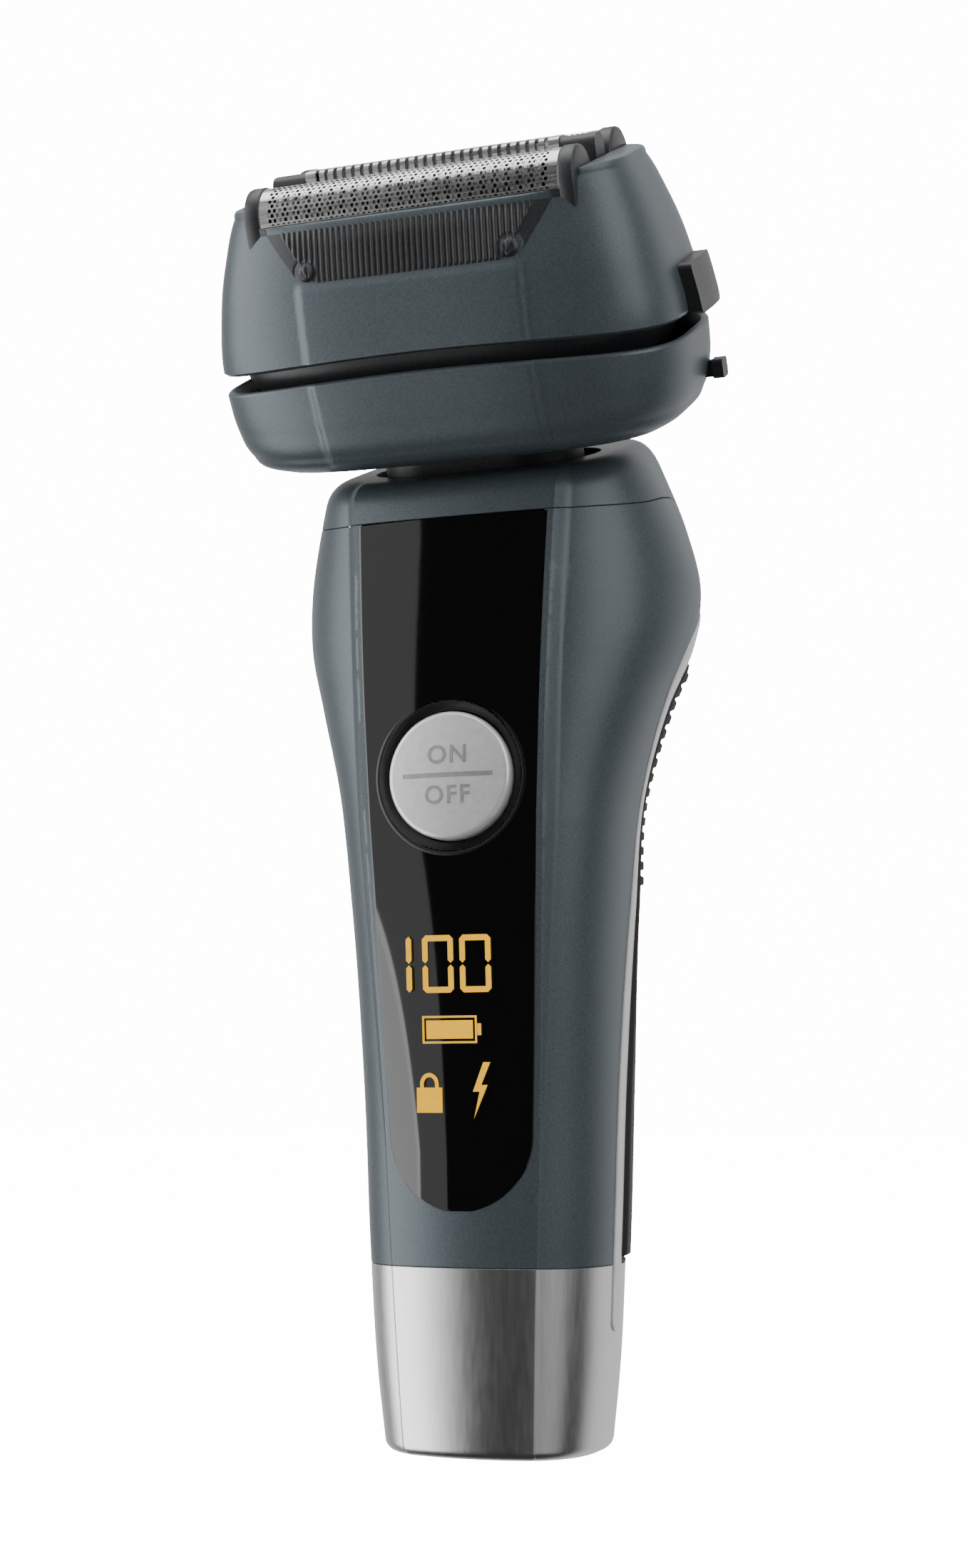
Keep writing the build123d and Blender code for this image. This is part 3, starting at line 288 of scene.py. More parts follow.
def grained(name, dark, light, size, relief, rough, metallic=0.0, coat=0.0, specular=0.5):
    """Moulded or painted plastic: colour, roughness and relief all follow one fine grain."""
    material, shader = blank_material(name)
    tree = material.node_tree
    grain = tree.nodes.new("ShaderNodeGroup")
    grain.node_tree = GRAIN
    grain.inputs["Size"].default_value = size
    grain.inputs["Relief"].default_value = relief
    tree.links.new(colour_between(tree, grain.outputs["Mask"], 0.35, 0.68, dark, light),
                   shader.inputs["Base Color"])
    tree.links.new(value_between(tree, grain.outputs["Mask"], rough[0], rough[1]),
                   shader.inputs["Roughness"])
    tree.links.new(grain.outputs["Normal"], shader.inputs["Normal"])
    shader.inputs["Metallic"].default_value = metallic
    shader.inputs["Coat Weight"].default_value = coat
    shader.inputs["Specular IOR Level"].default_value = specular
    return material


GREY = grained("grey_paint", (0.062, 0.08, 0.09), (0.098, 0.122, 0.137), 5200, 0.14, (0.36, 0.46),
               metallic=0.3)

columns = np.unique(np.concatenate([np.linspace(-1, 1, 241), [-CHIN_END, CHIN_END]]))
edge_heights = np.linspace(14, TRIM_FRONT_TOP, 300)
edge_places = trim_front(edge_heights)


def housing_place(z):
    """The place round the section of each housing column at height z: its share of the edge's."""
    return columns * np.interp(z, edge_heights, edge_places)


tops = shoulder_height(housing_place)
rise = np.concatenate([[0, 0.0008], np.linspace(0.004, 0.996, 300), [0.9992, 1]])
z = CAP_TOP + rise[:, None] * (tops - CAP_TOP)[None, :]
points = handle_point(z, housing_place(z))
outward = -normals_of(points)
lip = np.zeros(len(rise))
lip[[0, -1]] = GROOVE
way = np.sign((outward[..., :1] * points[..., :1]).sum() + 1e-9)
points = points - outward * lip[:, None, None] * way
mid = (points[:-1, :-1] + points[1:, 1:]) / 2
under = np.abs(mid[..., 0]) < window_half(mid[..., 2]) - 0.6
under &= (mid[..., 1] < 0) & (mid[..., 2] > 41)
surface("main_housing_skin", points, GREY, "handle", keep=~under, replaces=["main_housing"],
        slot="grey_paint")

# ---- Base cap: a plated plastic cup, satin chrome, that closes the foot. It goes from the flat
# underside round a small edge and up to the housing, with a fine groove where they meet.
def brush_group():
    """Fine lines drawn along one axis: noise stretched by the given scale vector."""
    sockets = [
        ("Stretch", "INPUT", "NodeSocketVector",
         (400.0, 400.0, 9000.0)), ("Relief", "INPUT", "NodeSocketFloat", 0.1),
        ("Mask", "OUTPUT", "NodeSocketFloat", None), ("Normal", "OUTPUT", "NodeSocketVector", None),
    ]
    group, inside, outside = new_group("drawn_lines", sockets)
    place = group.nodes.new("ShaderNodeTexCoord")
    pull = group.nodes.new("ShaderNodeVectorMath")
    pull.operation = "MULTIPLY"
    noise = group.nodes.new("ShaderNodeTexNoise")
    noise.inputs["Scale"].default_value = 1.0
    noise.inputs["Detail"].default_value = 4.0
    bump = group.nodes.new("ShaderNodeBump")
    bump.inputs["Distance"].default_value = 0.00002
    group.links.new(place.outputs["Object"], pull.inputs[0])
    group.links.new(inside.outputs["Stretch"], pull.inputs[1])
    group.links.new(pull.outputs["Vector"], noise.inputs["Vector"])
    group.links.new(noise.outputs["Fac"], bump.inputs["Height"])
    group.links.new(inside.outputs["Relief"], bump.inputs["Strength"])
    group.links.new(noise.outputs["Fac"], outside.inputs["Mask"])
    group.links.new(bump.outputs["Normal"], outside.inputs["Normal"])
    return group


BRUSH = brush_group()


def brushed(name, dark, light, stretch, relief, rough, metallic=1.0):
    """Drawn or plated metal: colour, roughness and relief all follow fine drawn lines."""
    material, shader = blank_material(name)
    tree = material.node_tree
    lines = tree.nodes.new("ShaderNodeGroup")
    lines.node_tree = BRUSH
    lines.inputs["Stretch"].default_value = stretch
    lines.inputs["Relief"].default_value = relief
    tree.links.new(colour_between(tree, lines.outputs["Mask"], 0.3, 0.7, dark, light),
                   shader.inputs["Base Color"])
    tree.links.new(value_between(tree, lines.outputs["Mask"], rough[0], rough[1]),
                   shader.inputs["Roughness"])
    tree.links.new(lines.outputs["Normal"], shader.inputs["Normal"])
    shader.inputs["Metallic"].default_value = metallic
    return material


CHROME = brushed("satin_chrome", (0.58, 0.58, 0.58), (0.66, 0.66, 0.66), (2600.0, 2600.0, 120.0),
                 0.0, (0.31, 0.36))
around = np.linspace(-1, 1, 361)
FOOT_ROUND = 1.3
turn = np.linspace(0, pi / 2, 10)
inset = np.concatenate([[13.4, 9, 5, 2.2], FOOT_ROUND * (1 - np.sin(turn))])
level = np.concatenate([[0, 0, 0, 0], FOOT_ROUND * (1 - np.cos(turn))])
walls = np.linspace(FOOT_ROUND + 0.3, CAP_TOP - GROOVE, 80)
z = np.concatenate([level, walls, [CAP_TOP - 0.02]])
shrink = np.concatenate([inset, np.zeros(len(walls)), [GROOVE]])
points = handle_point(z[:, None], around[None, :])
size_across = np.linalg.norm(points[..., :2], axis=-1, keepdims=True)
points[..., :2] *= np.maximum(size_across - shrink[:, None, None], 0.05) / size_across
surface("base_cap_skin", points, CHROME, "handle", replaces=["base_cap"], slot="satin_chrome")

# ---- Shoulder cap: the grey painted top of the handle, a plastic ring pressed in over the housing.
# It rises from the parting line, turns over a round edge, and slopes in to the neck's opening.
LEAN = radians(28)
NECK = np.array([0.0, -4.0, 121.0])
TOP_SLOPE = tan(radians(22))
EDGE_ROUND = 3.4
OPENING_GAP = 0.6


def in_head(points):
    """Carries points from the head's upright frame to the handle's."""
    x, q, r = points[..., 0], points[..., 1], points[..., 2]
    return np.stack([x, NECK[1] + q * cos(LEAN) - r * sin(LEAN),
                     NECK[2] + q * sin(LEAN) + r * cos(LEAN)], axis=-1)


def top_height(y):
    """The sloping top plane's height at a depth."""
    return 119.7 + (y + 13.3) * TOP_SLOPE


low = shoulder_height(lambda z: around + 0 * z)
edge_z = halved(lambda z: z < top_height(handle_point(z, around)[..., 1]),
                low.copy(), np.full_like(low, 135.0), 36)
edge = handle_point(edge_z, around)
opening_angle = np.arctan2(edge[:, 1] - 0.6, edge[:, 0])
half_x, half_q = 15.5 - OPENING_GAP, 9.0 - OPENING_GAP
straight = half_x - half_q
q = half_q * np.sin(opening_angle)
across = np.cos(opening_angle)
x = straight * np.sign(across) * np.minimum(1, np.abs(across) * 2.2) + half_q * across
hole = in_head(np.stack([x, q, 0 * x], axis=-1))
hole[:, 2] = top_height(hole[:, 1])
below_edge = handle_point(edge_z - EDGE_ROUND, around)
inward = hole - edge
inward /= np.linalg.norm(inward, axis=-1, keepdims=True)
over_edge = edge + inward * EDGE_ROUND
rows = [handle_point(low + 0.02, around) * [0.995, 0.995, 1]]
for t in np.linspace(0, 1, 40):
    rows.append(handle_point(low + 0.1 + (edge_z - EDGE_ROUND - low - 0.1) * t, around))
for t in np.linspace(0.06, 1, 18):
    rows.append((1 - t) ** 2 * below_edge + 2 * t * (1 - t) * edge + t**2 * over_edge)
for t in np.linspace(0.1, 0.97, 12):
    rows.append(over_edge * (1 - t) + hole * t)
down = in_head(np.array([0.0, 0.0, -1.0])) - in_head(np.array([0.0, 0.0, 0.0]))
for t in (0.0, 0.3, 1.5, 4.0):
    rows.append(hole + down * t)
surface("shoulder_skin", np.array(rows), GREY, "handle", replaces=["shoulder_cap", "neck_gasket"],
        slot="grey_paint")

# ---- Bright trim: one silver painted strip, clipped into the parting. It runs from a rounded tip
# on each side, up and over the back under the shoulder, and stands a little proud.
TRIM = brushed("silver_trim", (0.6, 0.6, 0.61), (0.7, 0.7, 0.71), (900.0, 900.0, 300.0), 0.0,
               (0.24, 0.3), 0.4)


def trim_rear(z):
    """The trim's rear edge: the place round the section at each height."""
    heights = [14, 30, 50, 66, 80, 88, 94, 98.6, TRIM_REAR_TOP]
    depths = [1.6, 1.5, 2, 3.2, 3.5, 3.7, 5.2, 9, 17]
    return place_at_depth(z, smooth_line(z, heights, depths))


def even(path, count):
    """The same path with its points spaced evenly along its length on the handle."""
    steps = np.diff(handle_point(path[:, 1], path[:, 0]), axis=0)
    length = np.concatenate([[0], np.cumsum(np.linalg.norm(steps, axis=1))])
    at = np.linspace(0, length[-1], count)
    return np.stack([np.interp(at, length, path[:, 0]), np.interp(at, length, path[:, 1])], -1)


def outward_of(points):
    """Unit normals of a grid, turned where needed to point away from the handle's axis."""
    away = normals_of(points)
    return away * np.sign((away[..., :2] * points[..., :2]).sum(-1, keepdims=True))


turn = np.linspace(0, pi / 2, 9)
tip_z = TRIM_TIP_Z - 1.6 * np.cos(turn)
front_z = np.linspace(TRIM_TIP_Z, TRIM_FRONT_TOP, 260)
rear_z = np.linspace(TRIM_TIP_Z, TRIM_REAR_TOP, 260)
fp, rp = trim_front(front_z), trim_rear(rear_z)
centre_place = (fp[0] + rp[0]) / 2
half_place = (rp[0] - fp[0]) / 2
front_tip = np.stack([centre_place - half_place * np.sin(turn), tip_z], -1)
front_path = np.concatenate([front_tip, np.stack([fp, front_z], -1)[1:]])
rear_tip = np.stack([centre_place + half_place * np.sin(turn), tip_z], -1)
rear_path = np.concatenate([rear_tip, np.stack([rp, rear_z], -1)[1:]])
tail = np.linspace(0.04, 1, 40)[:, None]
front_path = np.concatenate([front_path,
                             front_path[-1] + (np.array([1.0, 105.9]) - front_path[-1]) * tail])
rear_path = np.concatenate([rear_path,
                            rear_path[-1] + (np.array([1.0, 101.0]) - rear_path[-1]) * tail])

front_path, rear_path = even(front_path, 400), even(rear_path, 400)
share = np.concatenate([[0, 0.015], np.linspace(0.06, 0.94, 12), [0.985, 1]])
place = front_path[:, None, 0] * (1 - share) + rear_path[:, None, 0] * share
z = front_path[:, None, 1] * (1 - share) + rear_path[:, None, 1] * share
points = handle_point(z, place)
away = outward_of(points)
proud = 0.02 + 0.2 * (1 - np.abs(2 * share - 1) ** 8)
proud[[0, -1]] = -0.25
points = points + away * proud[None, :, None]
other = points * [-1, 1, 1]
both = np.concatenate([points, other[-2::-1]], axis=0)
surface("trim_skin", both, TRIM, "handle", replaces=["trim_frame"], slot="silver_trim")

# ---- Rear cover and grip: the dark back of the handle, with a soft rubber pad moulded on to it
# that stands proud behind the trim and has level ribs in its upper part.
RUBBER = grained("black_rubber", (0.009, 0.009, 0.01), (0.016, 0.016, 0.017), 3000, 0.35,
                 (0.55, 0.7))
RIB_PITCH, RIB_PROUD, RIB_TOP, RIB_COUNT = 1.9, 0.55, 97.5, 15


def ease(x):
    """0 below 0, 1 above 1, and a smooth step between."""
    x = np.clip(x, 0, 1)
    return x * x * (3 - 2 * x)


rear_z = np.linspace(CAP_TOP, 100.9, 760)
start = trim_rear(rear_z)
share = np.linspace(-1, 1, 121)
place = 1 + share[None, :] * (1 - start)[:, None]
fold = np.where(place > 1, place - 2, place)
points = handle_point(rear_z[:, None] + 0 * fold, np.where(fold == -1, 1, fold))
away = outward_of(points)
reach = (1 - np.abs(share))[None, :] * (1 - start)[:, None] * 40
inset = np.minimum(reach, np.minimum(rear_z - CAP_TOP - 0.6, 99.6 - rear_z)[:, None])
pad = ease(inset / 0.5) * 0.6 - 0.2 * ease(1 - np.abs(inset) / 0.3)
phase = (RIB_TOP - rear_z) / RIB_PITCH
in_ribs = (phase > 0) & (phase < RIB_COUNT)
rib = np.where(in_ribs, ease((0.36 - np.abs(phase % 1 - 0.5)) / 0.14), 0)
lift = pad + rib[:, None] * RIB_PROUD * ease((inset - 0.6) / 0.7)
points = points + away * lift[..., None]
surface("rear_grip_skin", points, RUBBER, "handle", replaces=["rear_cover", "rear_grip"],
        slot="black_rubber", sharp=60)

# ---- Display window: a piano black plastic panel, glued into the front a hair proud of the
# housing. It has a round chin, rounded edges and a round hole for the button's ring.
GLOSS = grained("black_gloss", (0.0015, 0.0015, 0.0016), (0.002, 0.002, 0.0022), 600, 0.0,
                (0.045, 0.055), specular=0.6)
WINDOW_TOP = 113.2
GLASS_PROUD, GLASS_ROUND = 0.05, 0.22


def front_y(x, z):
    """The depth of the crowned front: a parabola across the width at each height."""
    _, front, _, _, half, crown, *_ = handle_sizes(np.asarray(z, float))
    return -front + crown * (x / half) ** 2


BUTTON_Z = 81.3
RING_OUT, RING_IN, BUTTON_R = 9.4, 8.05, 7.85
chin = np.linspace(0, pi / 2, 40)
chin_z = CHIN_Z - window_half(CHIN_Z) * np.cos(chin)
z = np.concatenate([chin_z, np.linspace(CHIN_Z + 0.1, WINDOW_TOP, 420)])
chin_half = np.sqrt(np.maximum(window_half(CHIN_Z) ** 2 - (CHIN_Z - z) ** 2, 1e-6))
half = np.where(z < CHIN_Z, chin_half, window_half(z))
share = np.concatenate([[-1, -0.992], np.linspace(-0.975, 0.975, 150), [0.992, 1]])
x = half[:, None] * share[None, :]
level = shoulder_line(front_y(x, 113.0 + 0 * x)) - GROOVE
z = np.minimum(z[:, None] + 0 * x, level)
y = front_y(x, z) - GLASS_PROUD
edge_fall = np.minimum((1 - np.abs(share))[None, :] * half[:, None], (z - chin_z[0]))
y = y + GLASS_ROUND * (1 - ease(edge_fall / GLASS_ROUND))
points = np.stack([x, y, z], -1)
mid = (points[:-1, :-1] + points[1:, 1:]) / 2
keep = np.hypot(mid[..., 0], mid[..., 2] - BUTTON_Z) > RING_OUT - 0.3
surface("window_glass", points, GLOSS, "handle", keep=keep, replaces=["display_window"],
        slot="black_gloss")

# ---- Button ring and start button: a black plastic ring set in the window, and in it a round
# button of silver painted plastic with a dished face, two words and a line between them.
RING = grained("black_ring", (0.004, 0.004, 0.004), (0.007, 0.007, 0.007), 3800, 0.1, (0.3, 0.4))
SILVER = brushed("button_silver", (0.7, 0.7, 0.7), (0.78, 0.78, 0.78), (1500.0, 200.0, 1500.0),
                 0.0, (0.3, 0.36), 0.4)
# Darker silver for the words and the line: painted shade of engraving, since the marks sit a hair
# proud of the face.
ENGRAVING_SHADE = brushed("engraving_shade_silver", (0.3, 0.3, 0.3), (0.38, 0.38, 0.38), (3000.0, 3000.0, 3000.0), 0.05,
               (0.4, 0.5), 0.6)
DOME = 0.55
RIM_ROUND = 0.7
MARK_PROUD = 0.03
face = float(front_y(0.0, BUTTON_Z))


def turned(profile, steps=128):
    """Points round the button's axis from (radius, depth) pairs."""
    a = np.linspace(0, 2 * pi, steps, endpoint=False)
    r, y = np.array(profile).T
    return np.stack([r[:, None] * np.cos(a), y[:, None] + 0 * a,
                     BUTTON_Z + r[:, None] * np.sin(a)], -1)


def dish(r):
    """The button face's depth at a radius: it falls back with the radius squared."""
    return face - DOME - 0.25 + 0.45 * (r / BUTTON_R) ** 2


def sign(text, height, z):
    """A word on the button: flat letters as a mesh, stood up and laid on the dished face."""
    curve = bpy.data.curves.new("word_" + text.lower(), "FONT")
    curve.body = text
    curve.align_x = "CENTER"
    curve.align_y = "CENTER"
    curve.size = height * MM
    curve.extrude = 0.02 * MM
    curve.offset = 0.04 * MM
    curve.space_character = 1.15
    word = bpy.data.objects.new("word_" + text.lower(), curve)
    bpy.context.scene.collection.objects.link(word)
    letters = bpy.data.meshes.new_from_object(word)
    count = len(letters.vertices)
    flat = np.empty(count * 3)
    letters.vertices.foreach_get("co", flat)
    flat = flat.reshape(-1, 3) / MM
    x, up = flat[:, 0], flat[:, 1] + z
    r = np.hypot(x, up - BUTTON_Z)
    y = dish(r) - MARK_PROUD - flat[:, 2]
    letters.vertices.foreach_set("co", (np.stack([x, y, up], -1) * MM).ravel())
    # The letters take the darker silver: painted shade of engraving.
    letters.materials.append(ENGRAVING_SHADE)
    piece = bpy.data.objects.new("button_word_" + text.lower(), letters)
    bpy.context.scene.collection.objects.link(piece)
    bpy.data.objects.remove(word)
    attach(piece, "start_button")


ring_profile = [(RING_OUT + 0.35, face + 0.35), (RING_OUT + 0.3, face - 0.02),
                (RING_OUT + 0.1, face - 0.1)]
ring_profile += [(RING_OUT - 0.15, face - 0.05), (RING_OUT - 0.35, face + 0.25),
                 (RING_IN + 0.35, face + 0.75)]
ring_profile += [(RING_IN, face + 0.85), (RING_IN - 0.02, face + 2.5)]
ring = turned(ring_profile)
ring[..., 1] += (np.asarray(front_y(ring[..., 0], ring[..., 2])) - face) * 0.8
surface("button_ring_skin", ring, RING, "handle", closed=True, replaces=["button_bezel"],
        slot="dark_plastic")
edge_turn = np.linspace(0, pi / 2, 10)
profile = [(r, dish(r)) for r in np.linspace(0.02, BUTTON_R - RIM_ROUND, 16)]
rim_y = profile[-1][1]
profile += [(BUTTON_R - RIM_ROUND + RIM_ROUND * sin(a), rim_y + RIM_ROUND * (1 - cos(a)))
            for a in edge_turn[1:]]
profile += [(BUTTON_R, face + 1.0), (BUTTON_R, face + 2.6)]
surface("start_button_skin", turned(profile), SILVER, "start_button", closed=True, flip=True,
        replaces=["start_button"], slot="button_silver")
sign("ON", 3.1, BUTTON_Z + 2.4)
sign("OFF", 3.1, BUTTON_Z - 2.5)
# The line between the words, in the same darker silver: painted shade of an engraved groove.
u, v = np.meshgrid(np.linspace(-5.8, 5.8, 40), np.linspace(-0.28, 0.28, 4), indexing="ij")
r = np.hypot(u, v)
bar = np.stack([u, dish(r) - MARK_PROUD, BUTTON_Z + v], -1)
surface("button_divider", bar, ENGRAVING_SHADE, "start_button", flip=True, slot="button_silver")

# ---- Lit signs: three digits, a cell, a lock and a bolt that shine amber through the window. Each
# is a thin flat shape laid on the glass.
DIGIT_LOW, DIGIT_HIGH = 55.2, 62.1

def glowing(name, colour, strength):
    """Lit sign: a coloured emission, a little uneven."""
    material, shader = blank_material(name)
    tree = material.node_tree
    grain = tree.nodes.new("ShaderNodeGroup")
    grain.node_tree = GRAIN
    grain.inputs["Size"].default_value = 900.0
    lit = colour_between(tree, grain.outputs["Mask"], 0.2, 0.6, [c * 0.88 for c in colour], colour)
    tree.links.new(lit, shader.inputs["Emission Color"])
    tree.links.new(lit, shader.inputs["Base Color"])
    shader.inputs["Emission Strength"].default_value = strength
    return material


AMBER = glowing("amber_glow", (1.0, 0.52, 0.0), 0.5)


def lit_shape(name, outline, lift=0.04):
    """A flat closed shape on the window from (x, z) points, filled as one face."""
    outline = np.array(outline)
    y = front_y(0 * outline[:, 0], outline[:, 1]) - GLASS_PROUD - lift
    points = np.stack([outline[:, 0], y, outline[:, 1]], -1)
    make_piece(name, points, [list(range(len(points)))], AMBER, "handle",
               replaces=["display_icons"], slot="amber_glow")


def bar_outline(x0, x1, z0, z1, cut):
    """A bar with both ends cut to points, upright or level."""
    if z1 - z0 > x1 - x0:
        m = (x0 + x1) / 2
        return [(x0, z0 + cut), (m, z0), (x1, z0 + cut), (x1, z1 - cut), (m, z1), (x0, z1 - cut)]
    m = (z0 + z1) / 2
    return [(x0, m), (x0 + cut, z0), (x1 - cut, z0), (x1, m), (x1 - cut, z1), (x0 + cut, z1)]


def digit(name, x, wide, low, high, lit):
    """A seven-bar digit; lit names the bars a to f, clockwise from the top."""
    s, g, m = 0.72, 0.1, (low + high) / 2
    bars = {
        "a": (x + g, x + wide - g, high - s, high), "b": (x + wide - s, x + wide, m + g, high - g),
        "c": (x + wide - s, x + wide, low + g, m - g), "d": (x + g, x + wide - g, low, low + s),
        "e": (x, x + s, low + g, m - g), "f": (x, x + s, m + g, high - g),
    }
    for key in lit:
        lit_shape(f"{name}_{key}", bar_outline(*bars[key], 0.36))


for number, (x, wide,
             lit) in enumerate([(-6.3, 1.0, "bc"), (-3.9, 4.0, "abcdef"), (0.9, 4.0, "abcdef")]):
    digit(f"sign_digit_{number + 1}", x, wide, DIGIT_LOW, DIGIT_HIGH, lit)
lit_shape("sign_cell_fill", [(-3.6, 49.7), (2.4, 49.7), (2.4, 51.9), (-3.6, 51.9)])
cell_edges = [(-4.1, 2.9, 49.15, 49.4), (-4.1, 2.9, 52.2, 52.45), (-4.1, -3.85, 49.4, 52.2),
              (2.65, 2.9, 49.4, 52.2)]
for side, (x0, x1, z0, z1) in enumerate(cell_edges):
    lit_shape(f"sign_cell_edge_{side}", [(x0, z0), (x1, z0), (x1, z1), (x0, z1)])
lit_shape("sign_cell_nub", [(2.95, 50.1), (3.45, 50.1), (3.45, 51.5), (2.95, 51.5)])
lit_shape("sign_lock_body", [(-5.0, 40.9), (-1.7, 40.9), (-1.7, 43.9), (-5.0, 43.9)])
arc = np.linspace(0, pi, 16)
outer_arc = [(-3.35 + 1.2 * cos(a), 44.3 + 1.35 * sin(a)) for a in arc]
inner_arc = [(-3.35 + 0.72 * cos(a), 44.3 + 0.85 * sin(a)) for a in arc[::-1]]
bow = [(-2.15, 43.9)] + outer_arc + [(-4.55, 43.9), (-4.07, 43.9)] + inner_arc + [(-2.63, 43.9)]
lit_shape("sign_lock_bow", bow)
lit_shape("sign_bolt",
          [(3.6, 46.9), (2.2, 43.4), (3.05, 43.4), (2.3, 40.2), (4.1, 44.2), (3.3, 44.2),
           (4.5, 46.9)])

# ---- Cradle: the grey painted lower shell of the head, hung on the neck's pins. It goes from its
# flat underside, round the lower edge, up to the arched rim, over its lip and down inside.
HEAD_SQUARE = 3.6
CRADLE_R = [5.7, 6.5, 8.5, 12.0, 15.5, 19.5]
CRADLE_HALF = [25.2, 27.0, 28.6, 29.7, 30.0, 30.0]
CRADLE_DEPTH = [13.0, 14.9, 16.3, 17.1, 17.5, 17.7]
CRADLE_FOOT, LIP = 5.7, 0.5
head_angle = np.linspace(0, 2 * pi, 480, endpoint=False)
head_angle = head_angle - 0.22 * np.sin(2 * head_angle)


def head_section(half_width, half_depth, angle):
    """A superellipse point in the head's upright frame: angle 0 is the front's middle and grows
    towards +X."""
    c, s = np.cos(angle), np.sin(angle)
    reach = (np.abs(s) / half_width) ** HEAD_SQUARE + (np.abs(c) / half_depth) ** HEAD_SQUARE
    radius = reach ** (-1 / HEAD_SQUARE)
    return radius * s, -radius * c


def arch(x, crest, fall=1.5):
    """A line highest in the middle that falls in a round arc to both sides."""
    radius = (30**2 + fall**2) / (2 * fall)
    return crest - radius + np.sqrt(np.maximum(radius**2 - x**2, 0))


def raised_middle(x, q):
    """How far the middle of the front stands out between its two creases."""
    return 0.42 * ease((14.6 - np.abs(x)) / 0.8) * (q < 0)


def head_wall(r, half, depth, knots, grow=0.0):
    """Wall points at heights r round the head, offset outwards by grow."""
    w = smooth_line(r, knots, half) + grow
    d = smooth_line(r, knots, depth) + grow
    x, q = head_section(w, d, head_angle + 0 * r)
    return x, q


x, q = head_wall(18.0 + 0 * head_angle, CRADLE_HALF, CRADLE_DEPTH, CRADLE_R)
rim = arch(x, 18.1)
rows = []
for share in (0.3, 0.7, 0.95):
    x, q = head_wall(CRADLE_FOOT + 0 * head_angle, CRADLE_HALF, CRADLE_DEPTH, CRADLE_R)
    rows.append(np.stack([x * share, q * share, CRADLE_FOOT + 0 * x], -1))
for t in np.concatenate([np.linspace(0, 0.2, 14) , np.linspace(0.22, 1, 40)]):
    r = CRADLE_FOOT + (rim - LIP - CRADLE_FOOT) * t
    x, q = head_wall(r, CRADLE_HALF, CRADLE_DEPTH, CRADLE_R)
    bulge = raised_middle(x, q) * ease((r - 6.2) / 2)
    rows.append(np.stack([x, q - bulge, r], -1))
for a in np.linspace(0, pi, 10):
    r = rim - LIP + LIP * np.sin(a)
    x, q = head_wall(rim, CRADLE_HALF, CRADLE_DEPTH, CRADLE_R, -LIP + LIP * cos(a))
    rows.append(np.stack([x, q - raised_middle(x, q) * (0.5 + 0.5 * cos(a)), r], -1))
for drop in (1.0, 2.5, 6.0):
    x, q = head_wall(rim, CRADLE_HALF, CRADLE_DEPTH, CRADLE_R, -1.3 - drop * 0.1)
    rows.append(np.stack([x, q, rim - drop], -1))
surface("cradle_skin", in_head(np.array(rows)), GREY, "cradle", closed=True,
        replaces=["head_cradle"], slot="grey_paint", sharp=50)

# ---- Skirt: the band inside the shells. Its dark plastic is darker than the grey paint it has,
# and so paints the shade in the seam. It rides with the head and shows in the seam between the
# cradle and the foil frame.
# Dark plastic: the guides, cheeks and small parts have it as their own colour; on the skirt it is
# painted shade.
DARK = grained("dark_plastic", (0.016, 0.018, 0.02), (0.028, 0.03, 0.033), 4200, 0.25, (0.36, 0.5))
SKIRT_R = [11.5, 14.5, 18.0, 22.0]
SKIRT_HALF = [23.6, 24.8, 27.0, 27.6]
SKIRT_DEPTH = [12.6, 13.8, 15.3, 15.5]
rows = []
for r in np.linspace(SKIRT_R[0], SKIRT_R[-1], 24):
    x, q = head_wall(r + 0 * head_angle, SKIRT_HALF, SKIRT_DEPTH, SKIRT_R)
    rows.append(np.stack([x, q, r + 0 * x], -1))
for r in (SKIRT_R[-1], 14.0):
    x, q = head_wall(r + 0 * head_angle, SKIRT_HALF, SKIRT_DEPTH, SKIRT_R, -1.4)
    rows.append(np.stack([x, q, r + 0 * x], -1))
# The dark plastic on the skirt paints the shade in the seam between the shells.
surface("skirt_skin", in_head(np.array(rows)), DARK, "head", closed=True, replaces=["head_skirt"],
        slot="dark_plastic", sharp=50)

# ---- Foil frame: the grey painted upper shell, which lifts off. Its lower edge follows the arched
# seam, its two side towers stand higher than its walls, and its top turns in to the foils' well.
FRAME_R = [17.0, 20.2, 25.0, 29.3, 33.0, 36.4, 39.5]
FRAME_HALF = [29.9, 29.9, 29.2, 28.3, 27.2, 26.0, 24.4]
FRAME_DEPTH = [17.8, 17.7, 17.0, 16.1, 14.9, 13.6, 11.9]
WALL_TOP, TOP_ROUND = 36.4, 0.9
WELL_X, WELL_Q = 21.5, 12.9
x, q = head_wall(20.0 + 0 * head_angle, FRAME_HALF, FRAME_DEPTH, FRAME_R)
seam = arch(x, 20.3)
x, q = head_wall(WALL_TOP + 0 * head_angle, FRAME_HALF, FRAME_DEPTH, FRAME_R)
crest = WALL_TOP + 1.9 * ease((np.abs(x) - 19.5) / 0.9)
rows = []
for drop, grow in ((3.0, -1.6), (0.0, -1.5), (-0.1, -0.4)):
    xs, qs = head_wall(seam, FRAME_HALF, FRAME_DEPTH, FRAME_R, grow)
    rows.append(np.stack([xs, qs, seam + drop], -1))
for t in np.concatenate([[0.0], np.linspace(0.02, 1, 70)]):
    r = seam + 0.25 + (crest - TOP_ROUND - seam - 0.25) * t
    xs, qs = head_wall(r, FRAME_HALF, FRAME_DEPTH, FRAME_R)
    qs = qs - raised_middle(xs, qs) * ease((30.0 - r) / 1.5)
    rows.append(np.stack([xs, qs, r], -1))
xs, qs = head_wall(crest - TOP_ROUND, FRAME_HALF, FRAME_DEPTH, FRAME_R)
well_x = np.clip(xs, -WELL_X, WELL_X)
well_q = np.clip(qs, -WELL_Q, WELL_Q)
